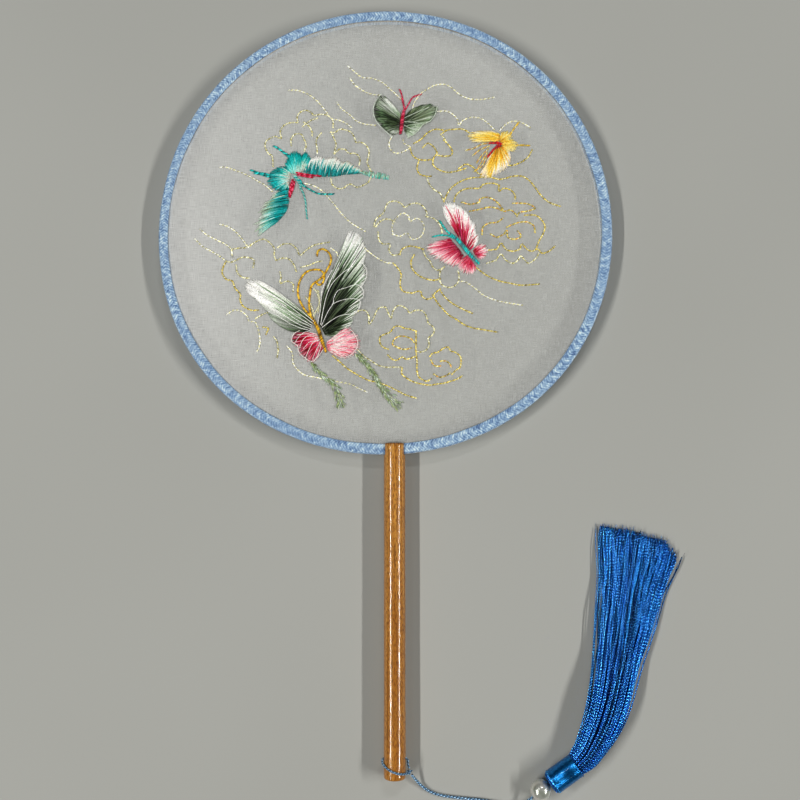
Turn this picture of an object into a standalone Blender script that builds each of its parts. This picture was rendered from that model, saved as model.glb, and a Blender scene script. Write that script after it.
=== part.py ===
"""Round embroidered fan: a bound hoop with a silk face, a wooden handle and a tassel on a cord.

The fan lies on its back. +Z is up, +Y runs from the handle to the face, and the origin is under
the middle of the fan (hoop and handle) on the surface that it lies on. Lengths are in metres.
"""
import math

import bmesh
import bpy
from mathutils import Matrix, Vector

# Face, hoop and binding
face_diameter = 0.260
binding_width = 0.0058
binding_thickness = 0.0005
hoop_width = 0.0044
hoop_thickness = 0.0036
silk_thickness = 0.0002
wrap_clearance = 0.0003
ring_steps = 96

# Handle
handle_diameter = 0.0131
handle_length = 0.1829
handle_side_offset = 0.0061
handle_top_reach = 0.0014
handle_end_rounding = 0.0015
handle_top_rounding = 0.0006
cleft_clearance = 0.0003
cord_hole_radius = 0.0014
cord_hole_from_end = 0.0112
handle_steps = 32
cut_overrun = 0.002

# Cord, knots and bead
loop_cord_radius = 0.00055
tassel_cord_radius = 0.00085
loop_seat_gap = 0.00035
knot_radius = 0.00135
knot_height = 0.0060
knot_from_end = 0.0033
knot_side_gap = 0.00025
knot_gap = 0.0003
cord_step = 0.0034
loop_step = 0.0011
bead_radius = 0.00565
bead_bore_radius = 0.0012
bead_rest_gap = 0.0001
tassel_heading_degrees = 41.0

# Tassel
head_gap = 0.0004
head_length = 0.0164
head_radius = 0.0064
head_core_radius = 0.0059
head_dome_length = 0.0048
head_bore_radius = 0.0019
head_bore_depth = 0.0052
head_knot_radius = 0.0015
band_outer_radius = 0.0067
band_inner_radius = 0.0062
band_length = 0.0110
band_edge_rounding = 0.00025
band_rest_gap = 0.0001
skirt_gap = 0.0003
skirt_lobes = 22
skirt_lobe_depth_share = 0.07
skirt_rest_gap = 0.0001
skirt_step = 0.0092
ragged_end_depth = 0.0022

# Embroidery, on the front of the silk
stitch_gap = 0.0003
wing_thickness = 0.0005
body_thickness = 0.0011
body_width = 0.0024
line_thread_radius = 0.00035
feeler_thread_radius = 0.00045
gold_feeler_radius = 0.0006
outline_step = 0.0024
line_step = 0.0026

# The face in the photograph, which the embroidery's places are given in
photo_face_centre_px = (383.8, 228.1)
photo_face_half_width_px = 227.2
photo_face_half_height_px = 222.8

# Places worked out from the sizes above
face_radius = face_diameter / 2
handle_radius = handle_diameter / 2
hoop_height = handle_radius
handle_end_distance = face_radius - binding_width - handle_top_reach + handle_length
face_centre_y = (handle_end_distance - face_radius) / 2
handle_end_y = face_centre_y - handle_end_distance
handle_top_y = handle_end_y + handle_length
silk_low = hoop_height + hoop_thickness / 2 + wrap_clearance
silk_high = silk_low + silk_thickness
stitch_floor = silk_high + stitch_gap
binding_low = hoop_height - hoop_thickness / 2 - wrap_clearance - binding_thickness
binding_high = silk_high + wrap_clearance + binding_thickness

knot_side_distance = handle_radius + knot_side_gap + knot_radius
knot_centre = Vector((handle_side_offset + knot_side_distance, handle_end_y + knot_from_end, knot_height))

# The free cord from the knot to the bead, and the bead at its end, on the resting surface
cord_route = [
    (0.0153, -0.21595, 0.0054), (0.0178, -0.2193, 0.0034), (0.0207, -0.2227, 0.0017),
    (0.0252, -0.2259, 0.00100), (0.0318, -0.2280, 0.00095), (0.0422, -0.2293, 0.00095),
    (0.0540, -0.2303, 0.00095), (0.0630, -0.2317, 0.00105), (0.0705, -0.2324, 0.0015),
    (0.0758, -0.2309, 0.0033), (0.0790, -0.2287, 0.0050),
]
bead_centre = Vector((0.0852, -0.22335, bead_radius + bead_rest_gap))
tassel_heading = math.radians(tassel_heading_degrees)
heading = Vector((math.cos(tassel_heading), math.sin(tassel_heading), 0))

# The skirt's middle line as it lies, with its half width and half height at each place
skirt_route = [
    (0.1084, -0.2017, 0.0079, 0.0060), (0.1155, -0.1922, 0.0098, 0.0058),
    (0.1207, -0.1820, 0.0112, 0.0056), (0.1266, -0.1597, 0.0132, 0.0052),
    (0.1318, -0.1376, 0.0153, 0.0047), (0.1357, -0.1167, 0.0182, 0.0042),
    (0.1380, -0.0972, 0.0215, 0.0037), (0.1392, -0.0865, 0.0238, 0.0034),
]

# Outlines of the stitched patches, in photograph pixels
grey_forewing_left_px = [
    (244.5, 284), (250, 279.5), (260, 279.5), (272, 285.5), (282, 293), (293, 302.5), (302, 311),
    (307, 317), (308, 324), (305, 328), (296, 328), (282, 326.5), (271, 317), (264, 309.5),
    (256.5, 300), (247, 293),
]
grey_forewing_right_px = [
    (348.5, 231), (356, 233.5), (363, 242), (365.5, 254), (364, 263.5), (367, 273.5), (363, 284),
    (364.5, 292.5), (360, 300), (359.5, 307), (352, 315.5), (348, 321), (340, 328), (331, 332),
    (326.5, 326), (327, 316), (328, 302), (331, 286), (337, 271), (344, 259), (351, 250), (352.5, 243),
]
grey_hindwing_left_px = [
    (297, 332.5), (305, 334), (313, 335), (317, 343), (319, 351), (317, 357), (312.5, 361), (303, 356),
    (299, 348.5), (293, 345), (292.5, 338.5),
]
grey_hindwing_right_px = [
    (329, 344), (336, 338), (344, 331), (350, 327), (354, 332), (358, 341), (356, 351), (349, 357),
    (339, 357), (332, 353),
]
teal_upper_body_px = [
    (288.5, 160), (293, 153.5), (299, 152.5), (302, 156.5), (307, 155.5), (308, 160), (306, 167.5),
    (300, 172), (292, 173), (287, 168),
]
teal_lower_body_px = [
    (269, 177), (272.5, 171), (279, 169), (284.5, 171), (287.5, 176), (285, 182), (278, 187.5), (271.5, 186),
]
teal_wing_right_px = [
    (310, 165), (312.5, 159), (319.5, 155.5), (324.5, 158.5), (333, 156.5), (340, 160), (351, 162.5),
    (355, 167), (362, 171), (358.5, 174), (346.5, 173.5), (333, 177), (318.5, 175), (311, 172),
]
teal_wing_lower_px = [
    (275, 191), (286, 187), (289.5, 196.5), (289, 208.5), (283.5, 218), (275, 225), (266, 228),
    (261, 235), (265, 219.5), (270, 207), (273, 197),
]
green_wing_left_px = [
    (380.5, 95.5), (386.5, 97), (394, 105), (399, 113), (399.5, 121), (396, 129), (391.5, 134), (383.5, 127.5),
    (376.5, 119), (374.5, 107.5),
]
green_wing_right_px = [
    (408, 115), (414.5, 110.5), (424, 105), (434, 105), (437, 109), (434, 116), (430, 121.5), (420, 127.5),
    (416, 129), (414, 134), (409, 137), (405, 131.5), (405.5, 123),
]
yellow_wing_left_px = [
    (470, 136.5), (477.5, 133), (488.5, 131), (496, 131.5), (498, 136), (494.5, 140.5), (486, 140), (476, 141.5),
]
yellow_wing_top_px = [
    (502, 135), (507, 132.5), (511, 137.5), (515, 143), (513.5, 149.5), (508.5, 147), (502.5, 142),
]
yellow_wing_lower_px = [
    (498, 145), (506, 150), (510.5, 158), (507, 166.5), (501.5, 172), (489, 178), (482, 176), (483, 168),
    (488.5, 158), (493, 148.5),
]
pink_wing_upper_px = [
    (444, 205), (452.5, 203.5), (463.5, 208), (469, 216.5), (474.5, 226), (477.5, 237), (474, 245),
    (469, 243.5), (463.5, 236), (455.5, 227), (447, 220), (444, 212),
]
pink_wing_left_px = [
    (423, 246), (430, 243), (438, 240.5), (449, 241.5), (457, 246), (462, 252), (459, 258.5), (456.5, 264.5),
    (447, 262.5), (435.5, 257), (427, 254),
]
pink_hindwing_right_px = [
    (476, 250), (479, 246), (485.5, 247), (487.5, 254), (482, 259), (477.5, 255.5),
]
pink_hindwing_low_px = [
    (465, 259), (468.5, 258), (474, 264.5), (472.5, 269.5), (464, 271.5), (460.5, 265.5),
]

# Bodies as a line from head to tail, in photograph pixels
bodies_px = {
    "grey_butterfly_body": ((312, 316), (324.5, 350)),
    "green_butterfly_body": ((403.5, 99), (401, 131)),
    "pink_butterfly_body": ((451, 235), (478.5, 262.5)),
}

# Feelers, legs and tails as stitched lines, in photograph pixels
grey_feeler_left_px = [
    (308.5, 311.5), (301, 303), (297.5, 290), (301.5, 276.5), (311, 270), (319.5, 270.5), (323.5, 276),
    (321.5, 283.5), (317.5, 282.5),
]
grey_feeler_right_px = [
    (312, 309), (309.5, 300), (311.5, 290.5), (314, 286),
]
grey_feeler_tip_px = [
    (327, 269.5), (330.5, 261), (328.5, 251.5), (323, 248.5), (317.5, 251.5), (317, 255),
]
grey_tail_left_px = [(311.5, 365), (316.5, 371), (327, 379), (335.5, 387.5), (339, 398), (341.5, 405.5)]
grey_tail_right_px = [(358, 356), (364.5, 363), (373, 376), (379, 386), (388, 397), (397, 405)]
teal_feeler_high_px = [(286, 153.5), (280, 150), (273.5, 146)]
teal_feeler_low_px = [(266, 174.5), (259, 172.5), (251, 170)]
teal_leg_px = [(304, 185), (311, 190.5), (321, 194), (333, 194)]
green_feeler_px = [(407, 106), (410, 99.5), (415, 96), (421, 94)]
yellow_feeler_high_px = [(513.5, 131), (516, 126.5), (518.5, 121.5)]
yellow_feeler_low_px = [(518, 144.5), (523, 144.5), (528, 145)]
pink_feeler_high_px = [(448.5, 231.5), (444, 227), (438.5, 220.5)]
pink_feeler_low_px = [(446.5, 236), (440, 237), (433, 236.5)]

# Cloud scallops and streamers: a point given twice is a cusp
cloud_lines_px = {
    "cloud_a_scallops": [
        (267.5, 155), (264, 145.5), (267.5, 139.5), (281, 137), (281, 137), (281, 132), (286, 125),
        (297.5, 122.5), (297.5, 122.5), (297, 116), (303, 111), (312.5, 113.5), (313.5, 118), (313.5, 118),
        (318.5, 114.5), (328, 115), (332.5, 121), (332, 130),
    ],
    "cloud_a_right_scallops": [
        (335.5, 135), (340, 130), (346.5, 128.5), (353.5, 134.5), (356, 141.5), (356, 141.5), (364, 143),
        (368, 150.5), (367.5, 158), (369.5, 165.5),
    ],
    "cloud_a_streamer": [(288, 90), (295.5, 89.5), (306.5, 92.5), (316, 99.5), (323, 109)],
    "cloud_b_streamer_left": [(348.5, 65.5), (355.5, 72.5), (368, 77.5), (379.5, 81), (389, 88), (395.5, 94)],
    "cloud_b_streamer_right": [
        (427, 90.5), (438, 85.5), (449.5, 86), (459.5, 93.5), (472, 98.5), (486, 99.5), (495, 97),
    ],
    "cloud_b_scallops": [
        (441, 110.5), (449.5, 112.5), (458, 120.5), (460, 125.5), (460, 125.5), (466.5, 119), (477.5, 117.5),
        (487.5, 121.5), (492.5, 126),
    ],
    "cloud_b_low_scallops": [
        (418.5, 159.5), (432.5, 157), (434, 166.5), (441, 171.5), (452.5, 171.5), (460.5, 168), (467.5, 165),
        (467.5, 165), (470.5, 171), (477, 169.5),
    ],
    "cloud_c_streamer": [
        (503.5, 178.5), (518, 175), (528, 178.5), (536.5, 187), (542, 196.5), (550.5, 202.5), (558.5, 205),
    ],
    "cloud_c_scallops": [
        (370, 230), (374, 226), (378, 218), (385, 212), (385, 212), (386.5, 203.5), (394.5, 200), (403, 203),
        (404.5, 207), (404.5, 207), (413, 202.5), (422.5, 204), (427, 212), (432.5, 217),
    ],
    "cloud_d_scallops": [
        (243.5, 248.5), (249.5, 245.5), (258, 240.5), (266.5, 239.5), (273.5, 244), (275, 250), (275, 250),
        (282, 245), (292, 244.5), (299, 251.5), (299.5, 256), (299.5, 256), (307.5, 249), (313, 245),
    ],
    "cloud_d_low_scallops": [
        (226.5, 262.5), (221.5, 268.5), (222.5, 276), (230, 280.5), (236, 286.5), (236, 286.5), (239.5, 291),
        (239, 298.5), (244.5, 307), (255, 310.5),
    ],
    "cloud_e_scallops": [
        (369.5, 323.5), (375, 314), (379.5, 308), (385.5, 306.5), (389, 312), (391, 318), (391, 318),
        (393.5, 309.5), (399, 305), (404.5, 306), (409, 311), (411.5, 315.5), (411.5, 315.5), (417, 309.5),
        (422, 310.5), (425.5, 316), (427, 324), (427, 324), (433, 327.5), (436.5, 332), (433, 336.5),
        (428.5, 338.5), (428.5, 338.5), (429.5, 345.5), (423, 350.5), (419, 350.5),
    ],
    "cloud_e_curl": [
        (413, 331), (404.5, 328.5), (397, 325.5), (391, 331), (384, 333.5), (379.5, 338), (379.5, 344.5),
        (384, 349), (391, 348), (393.5, 341), (397, 337.5), (404.5, 336), (411, 339),
    ],
    "cloud_f_scallops": [
        (404.5, 248.5), (400.5, 254), (396, 261.5), (400.5, 271), (401.5, 282), (404.5, 290.5), (413, 293),
        (420, 289), (420, 289), (423, 296.5), (428.5, 300), (434, 295),
    ],
    "cloud_f_streamer": [(461, 280.5), (467.5, 282.5), (476, 288), (488.5, 296.5), (503, 302), (521, 305.5)],
}


def clear_scene():
    for thing in list(bpy.data.objects):
        bpy.data.objects.remove(thing, do_unlink=True)


def new_collection(name):
    collection = bpy.data.collections.new(name)
    bpy.context.scene.collection.children.link(collection)
    return collection


def make_material(name, colour, roughness, metallic=0.0):
    material = bpy.data.materials.new(name)
    material.use_nodes = True
    shader = material.node_tree.nodes["Principled BSDF"]
    shader.inputs["Base Color"].default_value = (*colour, 1.0)
    shader.inputs["Roughness"].default_value = roughness
    shader.inputs["Metallic"].default_value = metallic
    material.diffuse_color = (*colour, 1.0)
    return material


def add_object(name, data, material, collection):
    thing = bpy.data.objects.new(name, data)
    data.materials.append(material)
    collection.objects.link(thing)
    return thing


def axis_turn(direction):
    return Vector((0, 0, 1)).rotation_difference(direction).to_matrix().to_4x4()


def turned(name, profile, closed, steps, place, direction, material, collection):
    """Turn a profile of (radius, height) points about its own Z, laid along a direction at a place."""
    mesh = bpy.data.meshes.new(name)
    points = [(radius, 0, height) for radius, height in profile]
    edges = [(index, index + 1) for index in range(len(points) - 1)]
    if closed:
        edges.append((len(points) - 1, 0))
    mesh.from_pydata(points, edges, [])
    thing = add_object(name, mesh, material, collection)
    screw = thing.modifiers.new("Turn", 'SCREW')
    screw.axis = 'Z'
    screw.angle = 2 * math.pi
    screw.steps = steps
    screw.render_steps = steps
    screw.use_merge_vertices = True
    screw.merge_threshold = 0.00001
    weld = thing.modifiers.new("Join poles", 'WELD')
    weld.merge_threshold = 0.00001
    thing.matrix_world = Matrix.Translation(place) @ axis_turn(direction)
    return thing


def arc(centre, radius, start_degrees, end_degrees, count):
    """Points of an arc in a profile's plane, its ends included."""
    points = []
    for index in range(count + 1):
        angle = math.radians(start_degrees + (end_degrees - start_degrees) * index / count)
        points.append((centre[0] + radius * math.cos(angle), centre[1] + radius * math.sin(angle)))
    return points


def spline_at(before, start, end, after, share):
    """A point of the smooth curve through four route points, between the middle two."""
    return 0.5 * (
        2 * start
        + (end - before) * share
        + (2 * before - 5 * start + 4 * end - after) * share ** 2
        + (3 * start - before - 3 * end + after) * share ** 3
    )


def smooth_run(points, step):
    """Even points along one smooth open curve through the route points."""
    padded = [2 * points[0] - points[1]] + points + [2 * points[-1] - points[-2]]
    dense = []
    fine = 12
    for index in range(len(points) - 1):
        for part in range(fine):
            dense.append(spline_at(*padded[index:index + 4], part / fine))
    dense.append(points[-1])
    return even_points(dense, step)


def even_points(dense, step):
    lengths = [0.0]
    for first, second in zip(dense, dense[1:]):
        lengths.append(lengths[-1] + (second - first).length)
    count = max(2, round(lengths[-1] / step))
    result = []
    at = 0
    for index in range(count + 1):
        wanted = lengths[-1] * index / count
        while at < len(dense) - 2 and lengths[at + 1] < wanted:
            at += 1
        span = lengths[at + 1] - lengths[at]
        share = (wanted - lengths[at]) / span if span else 0.0
        result.append(dense[at].lerp(dense[at + 1], min(share, 1.0)))
    return result


def smooth_line(points, step):
    """Smooth stretches between the cusps, which are points given twice."""
    stretches = [[points[0]]]
    for point in points[1:]:
        if point == stretches[-1][-1]:
            stretches.append([point])
        else:
            stretches[-1].append(point)
    line = []
    for stretch in stretches:
        run = smooth_run(stretch, step)
        line.extend(run if not line else run[1:])
    return line


def smooth_loop(points, step):
    """Even points round one smooth closed outline through the given points."""
    dense = []
    count = len(points)
    fine = 8
    for index in range(count):
        around = [points[(index + shift) % count] for shift in (-1, 0, 1, 2)]
        for part in range(fine):
            dense.append(spline_at(*around, part / fine))
    dense.append(points[0])
    return even_points(dense, step)[:-1]


def tube(name, points, radius, sides, material, collection):
    """A round cord or thread along a line of points, with filled ends."""
    curve = bpy.data.curves.new(name, 'CURVE')
    curve.dimensions = '3D'
    curve.bevel_depth = radius
    curve.bevel_resolution = sides
    curve.use_fill_caps = True
    spline = curve.splines.new('POLY')
    spline.points.add(len(points) - 1)
    for target, point in zip(spline.points, points):
        target.co = (*point, 1)
    return add_object(name, curve, material, collection)


def on_face(pixel, height):
    """The place on the fan's face that a pixel of the photograph shows."""
    right = pixel[0] - photo_face_centre_px[0]
    above = photo_face_centre_px[1] - pixel[1]
    x = right * face_radius / photo_face_half_width_px
    y = face_centre_y + above * face_radius / photo_face_half_height_px
    return Vector((x, y, height))


def patch(name, outline_px, material, collection):
    """A stitched patch: a flat plate of thread that lies on the silk."""
    height = stitch_floor + wing_thickness / 2
    outline = smooth_loop([on_face(pixel, 0) for pixel in outline_px], outline_step)
    curve = bpy.data.curves.new(name, 'CURVE')
    curve.dimensions = '2D'
    curve.fill_mode = 'BOTH'
    curve.extrude = wing_thickness / 2
    spline = curve.splines.new('POLY')
    spline.points.add(len(outline) - 1)
    for target, point in zip(spline.points, outline):
        target.co = (*point, 1)
    spline.use_cyclic_u = True
    thing = add_object(name, curve, material, collection)
    thing.location.z = height
    return thing


def stitched_line(name, line_px, radius, material, collection):
    """A line of thread that lies on the silk."""
    places = [on_face(pixel, stitch_floor + radius) for pixel in line_px]
    return tube(name, smooth_line(places, line_step), radius, 1, material, collection)


def padded_body(name, ends_px, material, collection):
    """A butterfly's raised body: a long rounded pad of thread."""
    head, tail = (on_face(pixel, stitch_floor + body_thickness / 2) for pixel in ends_px)
    along = tail - head
    mesh = bpy.data.meshes.new(name)
    form = bmesh.new()
    bmesh.ops.create_uvsphere(form, u_segments=12, v_segments=10, radius=1.0)
    size = Matrix.Diagonal((body_width / 2, body_thickness / 2, along.length / 2, 1))
    upright = Matrix.Rotation(math.radians(90), 4, 'X')
    bmesh.ops.transform(form, matrix=upright @ size, verts=form.verts)
    form.to_mesh(mesh)
    form.free()
    mesh.shade_smooth()
    thing = add_object(name, mesh, material, collection)
    turn = math.atan2(along.y, along.x) - math.radians(90)
    thing.matrix_world = Matrix.Translation((head + tail) / 2) @ Matrix.Rotation(turn, 4, 'Z')
    return thing


def make_hoop(materials, collection):
    outer = face_radius - binding_thickness - wrap_clearance
    inner = outer - hoop_width
    half = hoop_thickness / 2
    profile = [(outer, half), (outer, -half), (inner, -half), (inner, half)]
    place = Vector((0, face_centre_y, hoop_height))
    turned("hoop_core", profile, True, ring_steps, place, Vector((0, 0, 1)), materials["bamboo"], collection)


def make_silk(materials, collection):
    radius = face_radius - binding_thickness - wrap_clearance
    place = (0, face_centre_y, silk_low + silk_thickness / 2)
    bpy.ops.mesh.primitive_cylinder_add(
        vertices=ring_steps, radius=radius, depth=silk_thickness, location=place)
    disc = bpy.context.object
    disc.name = "silk_panel"
    disc.data.materials.append(materials["silk"])
    for owner in list(disc.users_collection):
        owner.objects.unlink(disc)
    collection.objects.link(disc)


def make_binding(materials, collection):
    """The woven tape folded round the hoop, open towards the middle of the face."""
    inner = face_radius - binding_width
    wall = face_radius - binding_thickness
    profile = [
        (face_radius, binding_high), (face_radius, binding_low), (inner, binding_low),
        (inner, binding_low + binding_thickness), (wall, binding_low + binding_thickness),
        (wall, binding_high - binding_thickness), (inner, binding_high - binding_thickness),
        (inner, binding_high),
    ]
    place = Vector((0, face_centre_y, 0))
    turned("rim_binding", profile, True, ring_steps, place, Vector((0, 0, 1)), materials["tape"], collection)


def cutter(name, make, collection):
    make()
    thing = bpy.context.object
    thing.name = name
    thing.hide_render = True
    thing.display_type = 'WIRE'
    for owner in list(thing.users_collection):
        owner.objects.unlink(thing)
    collection.objects.link(thing)
    return thing


def cut(thing, tool):
    boolean = thing.modifiers.new(tool.name, 'BOOLEAN')
    boolean.operation = 'DIFFERENCE'
    boolean.solver = 'EXACT'
    boolean.object = tool


def make_handle(materials, collection, cutters):
    """The turned handle, with the cleft that grips the rim and the hole that the cord goes through."""
    end = handle_end_rounding
    top = handle_top_rounding
    profile = [(0, handle_length)]
    profile += arc((handle_radius - top, handle_length - top), top, 90, 0, 3)
    profile += arc((handle_radius - end, end), end, 0, -90, 5)
    profile.append((0, 0))
    place = Vector((handle_side_offset, handle_end_y, hoop_height))
    handle = turned(
        "handle", profile, False, handle_steps, place, Vector((0, 1, 0)), materials["wood"], collection)

    slot_bottom = face_centre_y - face_radius - cleft_clearance
    slot_low = binding_low - cleft_clearance
    slot_high = binding_high + cleft_clearance
    slot_length = handle_top_y + cut_overrun - slot_bottom
    slot_centre = (handle_side_offset, slot_bottom + slot_length / 2, (slot_low + slot_high) / 2)
    slot = cutter("cleft_cutter", lambda: bpy.ops.mesh.primitive_cube_add(size=1, location=slot_centre), cutters)
    slot.data.transform(Matrix.Diagonal((handle_diameter + cut_overrun, slot_length, slot_high - slot_low, 1)))
    cut(handle, slot)

    hole_place = (handle_side_offset, handle_end_y + cord_hole_from_end, hoop_height)
    hole = cutter(
        "cord_hole_cutter",
        lambda: bpy.ops.mesh.primitive_cylinder_add(
            vertices=16, radius=cord_hole_radius, depth=handle_diameter + 2 * cut_overrun,
            location=hole_place, rotation=(0, math.radians(90), 0)),
        cutters)
    cut(handle, hole)


def round_handle(angle_degrees, distance, from_end):
    """A place beside the handle: its angle round the handle from +X, its distance and its height."""
    angle = math.radians(angle_degrees)
    return Vector((
        handle_side_offset + distance * math.cos(angle),
        handle_end_y + from_end,
        hoop_height + distance * math.sin(angle)))


def make_loop(materials, collection):
    """The cord's loop: up from the knot, through the handle and back over its front to the knot."""
    seat = handle_radius + loop_seat_gap + loop_cord_radius
    hole = cord_hole_from_end
    above_knot = knot_radius + knot_gap + loop_cord_radius
    low_share = 0.25
    strand = knot_centre.copy()
    strand.y += above_knot
    strand.z += knot_radius * low_share
    route = [
        strand,
        round_handle(0, seat + loop_seat_gap, (hole + knot_from_end + above_knot) / 2),
        round_handle(0, seat + loop_seat_gap, hole - 2 * loop_cord_radius),
        round_handle(0, seat - loop_cord_radius, hole - loop_cord_radius / 2),
        round_handle(0, handle_radius / 2, hole),
        round_handle(180, handle_radius / 2, hole),
        round_handle(180, seat - loop_cord_radius, hole - loop_cord_radius / 2),
        round_handle(170, seat + loop_seat_gap, hole - 2 * loop_cord_radius),
    ]
    front_degrees = (150, 125, 100, 75, 50, 32)
    front_start = hole - 3 * loop_cord_radius
    front_share = (0.0, 0.30, 0.58, 0.80, 0.94, 0.99)
    for angle, share in zip(front_degrees, front_share):
        from_end = front_start + (knot_from_end - front_start) * share
        route.append(round_handle(angle, seat, from_end))
    over_knot = knot_centre.copy()
    over_knot.z += above_knot
    route.append(over_knot)
    line = smooth_run(route, loop_step)
    tube("cord_loop", line, loop_cord_radius, 2, materials["cord"], collection)


def make_cord(materials, collection):
    """The free cord, from the knot to the far side of the bead."""
    route = [Vector(point) for point in cord_route]
    bore_share = 0.9
    inside = bead_centre - heading * (bead_radius * bore_share)
    out = bead_centre + heading * (bead_radius * bore_share)
    run = smooth_run(route + [inside, bead_centre, out], cord_step)
    tube("tassel_cord", run, tassel_cord_radius, 2, materials["cord"], collection)


def make_knot(materials, collection):
    bpy.ops.mesh.primitive_uv_sphere_add(segments=16, ring_count=10, radius=knot_radius, location=knot_centre)
    knot = bpy.context.object
    knot.name = "hitch_knot"
    knot.data.materials.append(materials["cord"])
    knot.data.shade_smooth()
    for owner in list(knot.users_collection):
        owner.objects.unlink(knot)
    collection.objects.link(knot)


def make_bead(materials, collection):
    """The pearl bead, bored through for the cord."""
    mouth = math.degrees(math.acos(bead_bore_radius / bead_radius))
    profile = arc((0, 0), bead_radius, mouth, -mouth, 18)
    turned("pearl_bead", profile, True, 24, bead_centre, heading, materials["pearl"], collection)


def head_place(distance):
    """A place on the tassel's own middle line, at its distance from the bead's centre."""
    place = bead_centre + heading * distance
    place.z = band_outer_radius + band_rest_gap
    return place


def make_head(materials, collection):
    """The folded threads at the tassel's top, with the pocket that holds the cord's end knot."""
    start = bead_radius + head_gap
    flat_share = (0.42, 0.70, 0.90, 0.985, 1.0)
    rise_share = (0.0, 0.10, 0.34, 0.66, 1.0)
    profile = [(0, head_length), (head_core_radius, head_length), (head_core_radius, head_dome_length)]
    for radius_part, height_part in reversed(list(zip(flat_share, rise_share))):
        profile.append((head_radius * radius_part, head_dome_length * height_part))
    profile.append((head_bore_radius, 0))
    profile.append((head_bore_radius, head_bore_depth))
    profile.append((0, head_bore_depth))
    turned("tassel_head", profile, False, 24, head_place(start), heading, materials["thread"], collection)

    knot_place = head_place(start + head_bore_depth - head_knot_radius - knot_gap)
    bpy.ops.mesh.primitive_uv_sphere_add(
        segments=12, ring_count=8, radius=head_knot_radius, location=knot_place)
    knot = bpy.context.object
    knot.name = "cord_end_knot"
    knot.data.materials.append(materials["cord"])
    for owner in list(knot.users_collection):
        owner.objects.unlink(knot)
    collection.objects.link(knot)


def make_band(materials, collection):
    """The satin band wound round the head."""
    start = bead_radius + head_gap + head_length - band_length - skirt_gap
    edge = band_edge_rounding
    outer = band_outer_radius
    profile = arc((outer - edge, band_length - edge), edge, 90, 0, 2)
    profile += arc((outer - edge, edge), edge, 0, -90, 2)
    profile += [(band_inner_radius, 0), (band_inner_radius, band_length)]
    turned("tassel_band", profile, True, 32, head_place(start), heading, materials["band"], collection)


def skirt_stations():
    """Places down the skirt's middle line, each with its half width and half height."""
    start = head_place(bead_radius + head_gap + head_length + skirt_gap)
    first = (start.x, start.y, band_inner_radius, band_inner_radius)
    route = [first] + skirt_route
    marks = [Vector((x, y, 0)) for x, y, width, height in route]
    stations = []
    for place in smooth_run(marks, skirt_step):
        stations.append((place, size_near(place, marks, route)))
    return stations


def size_near(place, marks, route):
    """The half width and half height between the two route marks that a place lies between."""
    best = min(range(len(marks) - 1), key=lambda index: segment_distance(place, marks[index], marks[index + 1]))
    span = marks[best + 1] - marks[best]
    share = max(0.0, min(1.0, (place - marks[best]).dot(span) / span.length_squared))
    width = route[best][2] + (route[best + 1][2] - route[best][2]) * share
    height = route[best][3] + (route[best + 1][3] - route[best][3]) * share
    return width, height


def segment_distance(place, start, end):
    span = end - start
    share = max(0.0, min(1.0, (place - start).dot(span) / span.length_squared))
    return (start + span * share - place).length


def skirt_ring(place, across, size, ragged, along):
    """One ring of the skirt: a low rounded heap of threads, ridged, and flat where it lies."""
    width, height = size
    ring = []
    count = 2 * skirt_lobes
    for index in range(count):
        angle = 2 * math.pi * index / count
        ridge = 1 - skirt_lobe_depth_share * (index % 2)
        side = across * (width * ridge * math.cos(angle))
        up = height + height * ridge * math.sin(angle)
        push = ragged * math.sin(index * 2.4) if ragged else 0.0
        point = place + side + along * push
        point.z = skirt_rest_gap + max(up, 0.0)
        ring.append(point)
    return ring


def make_skirt(materials, collection):
    """The tassel's hanging threads, as they lie: a curved, ridged bundle with a ragged end."""
    stations = skirt_stations()
    form = bmesh.new()
    rings = []
    for index, (place, size) in enumerate(stations):
        ahead = stations[min(index + 1, len(stations) - 1)][0]
        behind = stations[max(index - 1, 0)][0]
        along = heading.copy() if index == 0 else (ahead - behind).normalized()
        across = Vector((along.y, -along.x, 0))
        ragged = ragged_end_depth if index == len(stations) - 1 else 0.0
        rings.append([form.verts.new(point) for point in skirt_ring(place, across, size, ragged, along)])
    for first, second in zip(rings, rings[1:]):
        count = len(first)
        for index in range(count):
            after = (index + 1) % count
            form.faces.new((first[index], first[after], second[after], second[index]))
    form.faces.new(reversed(rings[0]))
    tip = sum((vert.co for vert in rings[-1]), Vector()) / len(rings[-1])
    middle = form.verts.new(tip)
    for index in range(len(rings[-1])):
        after = (index + 1) % len(rings[-1])
        form.faces.new((rings[-1][index], rings[-1][after], middle))
    bmesh.ops.recalc_face_normals(form, faces=form.faces)
    mesh = bpy.data.meshes.new("tassel_skirt")
    form.to_mesh(mesh)
    form.free()
    add_object("tassel_skirt", mesh, materials["thread"], collection)


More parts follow.
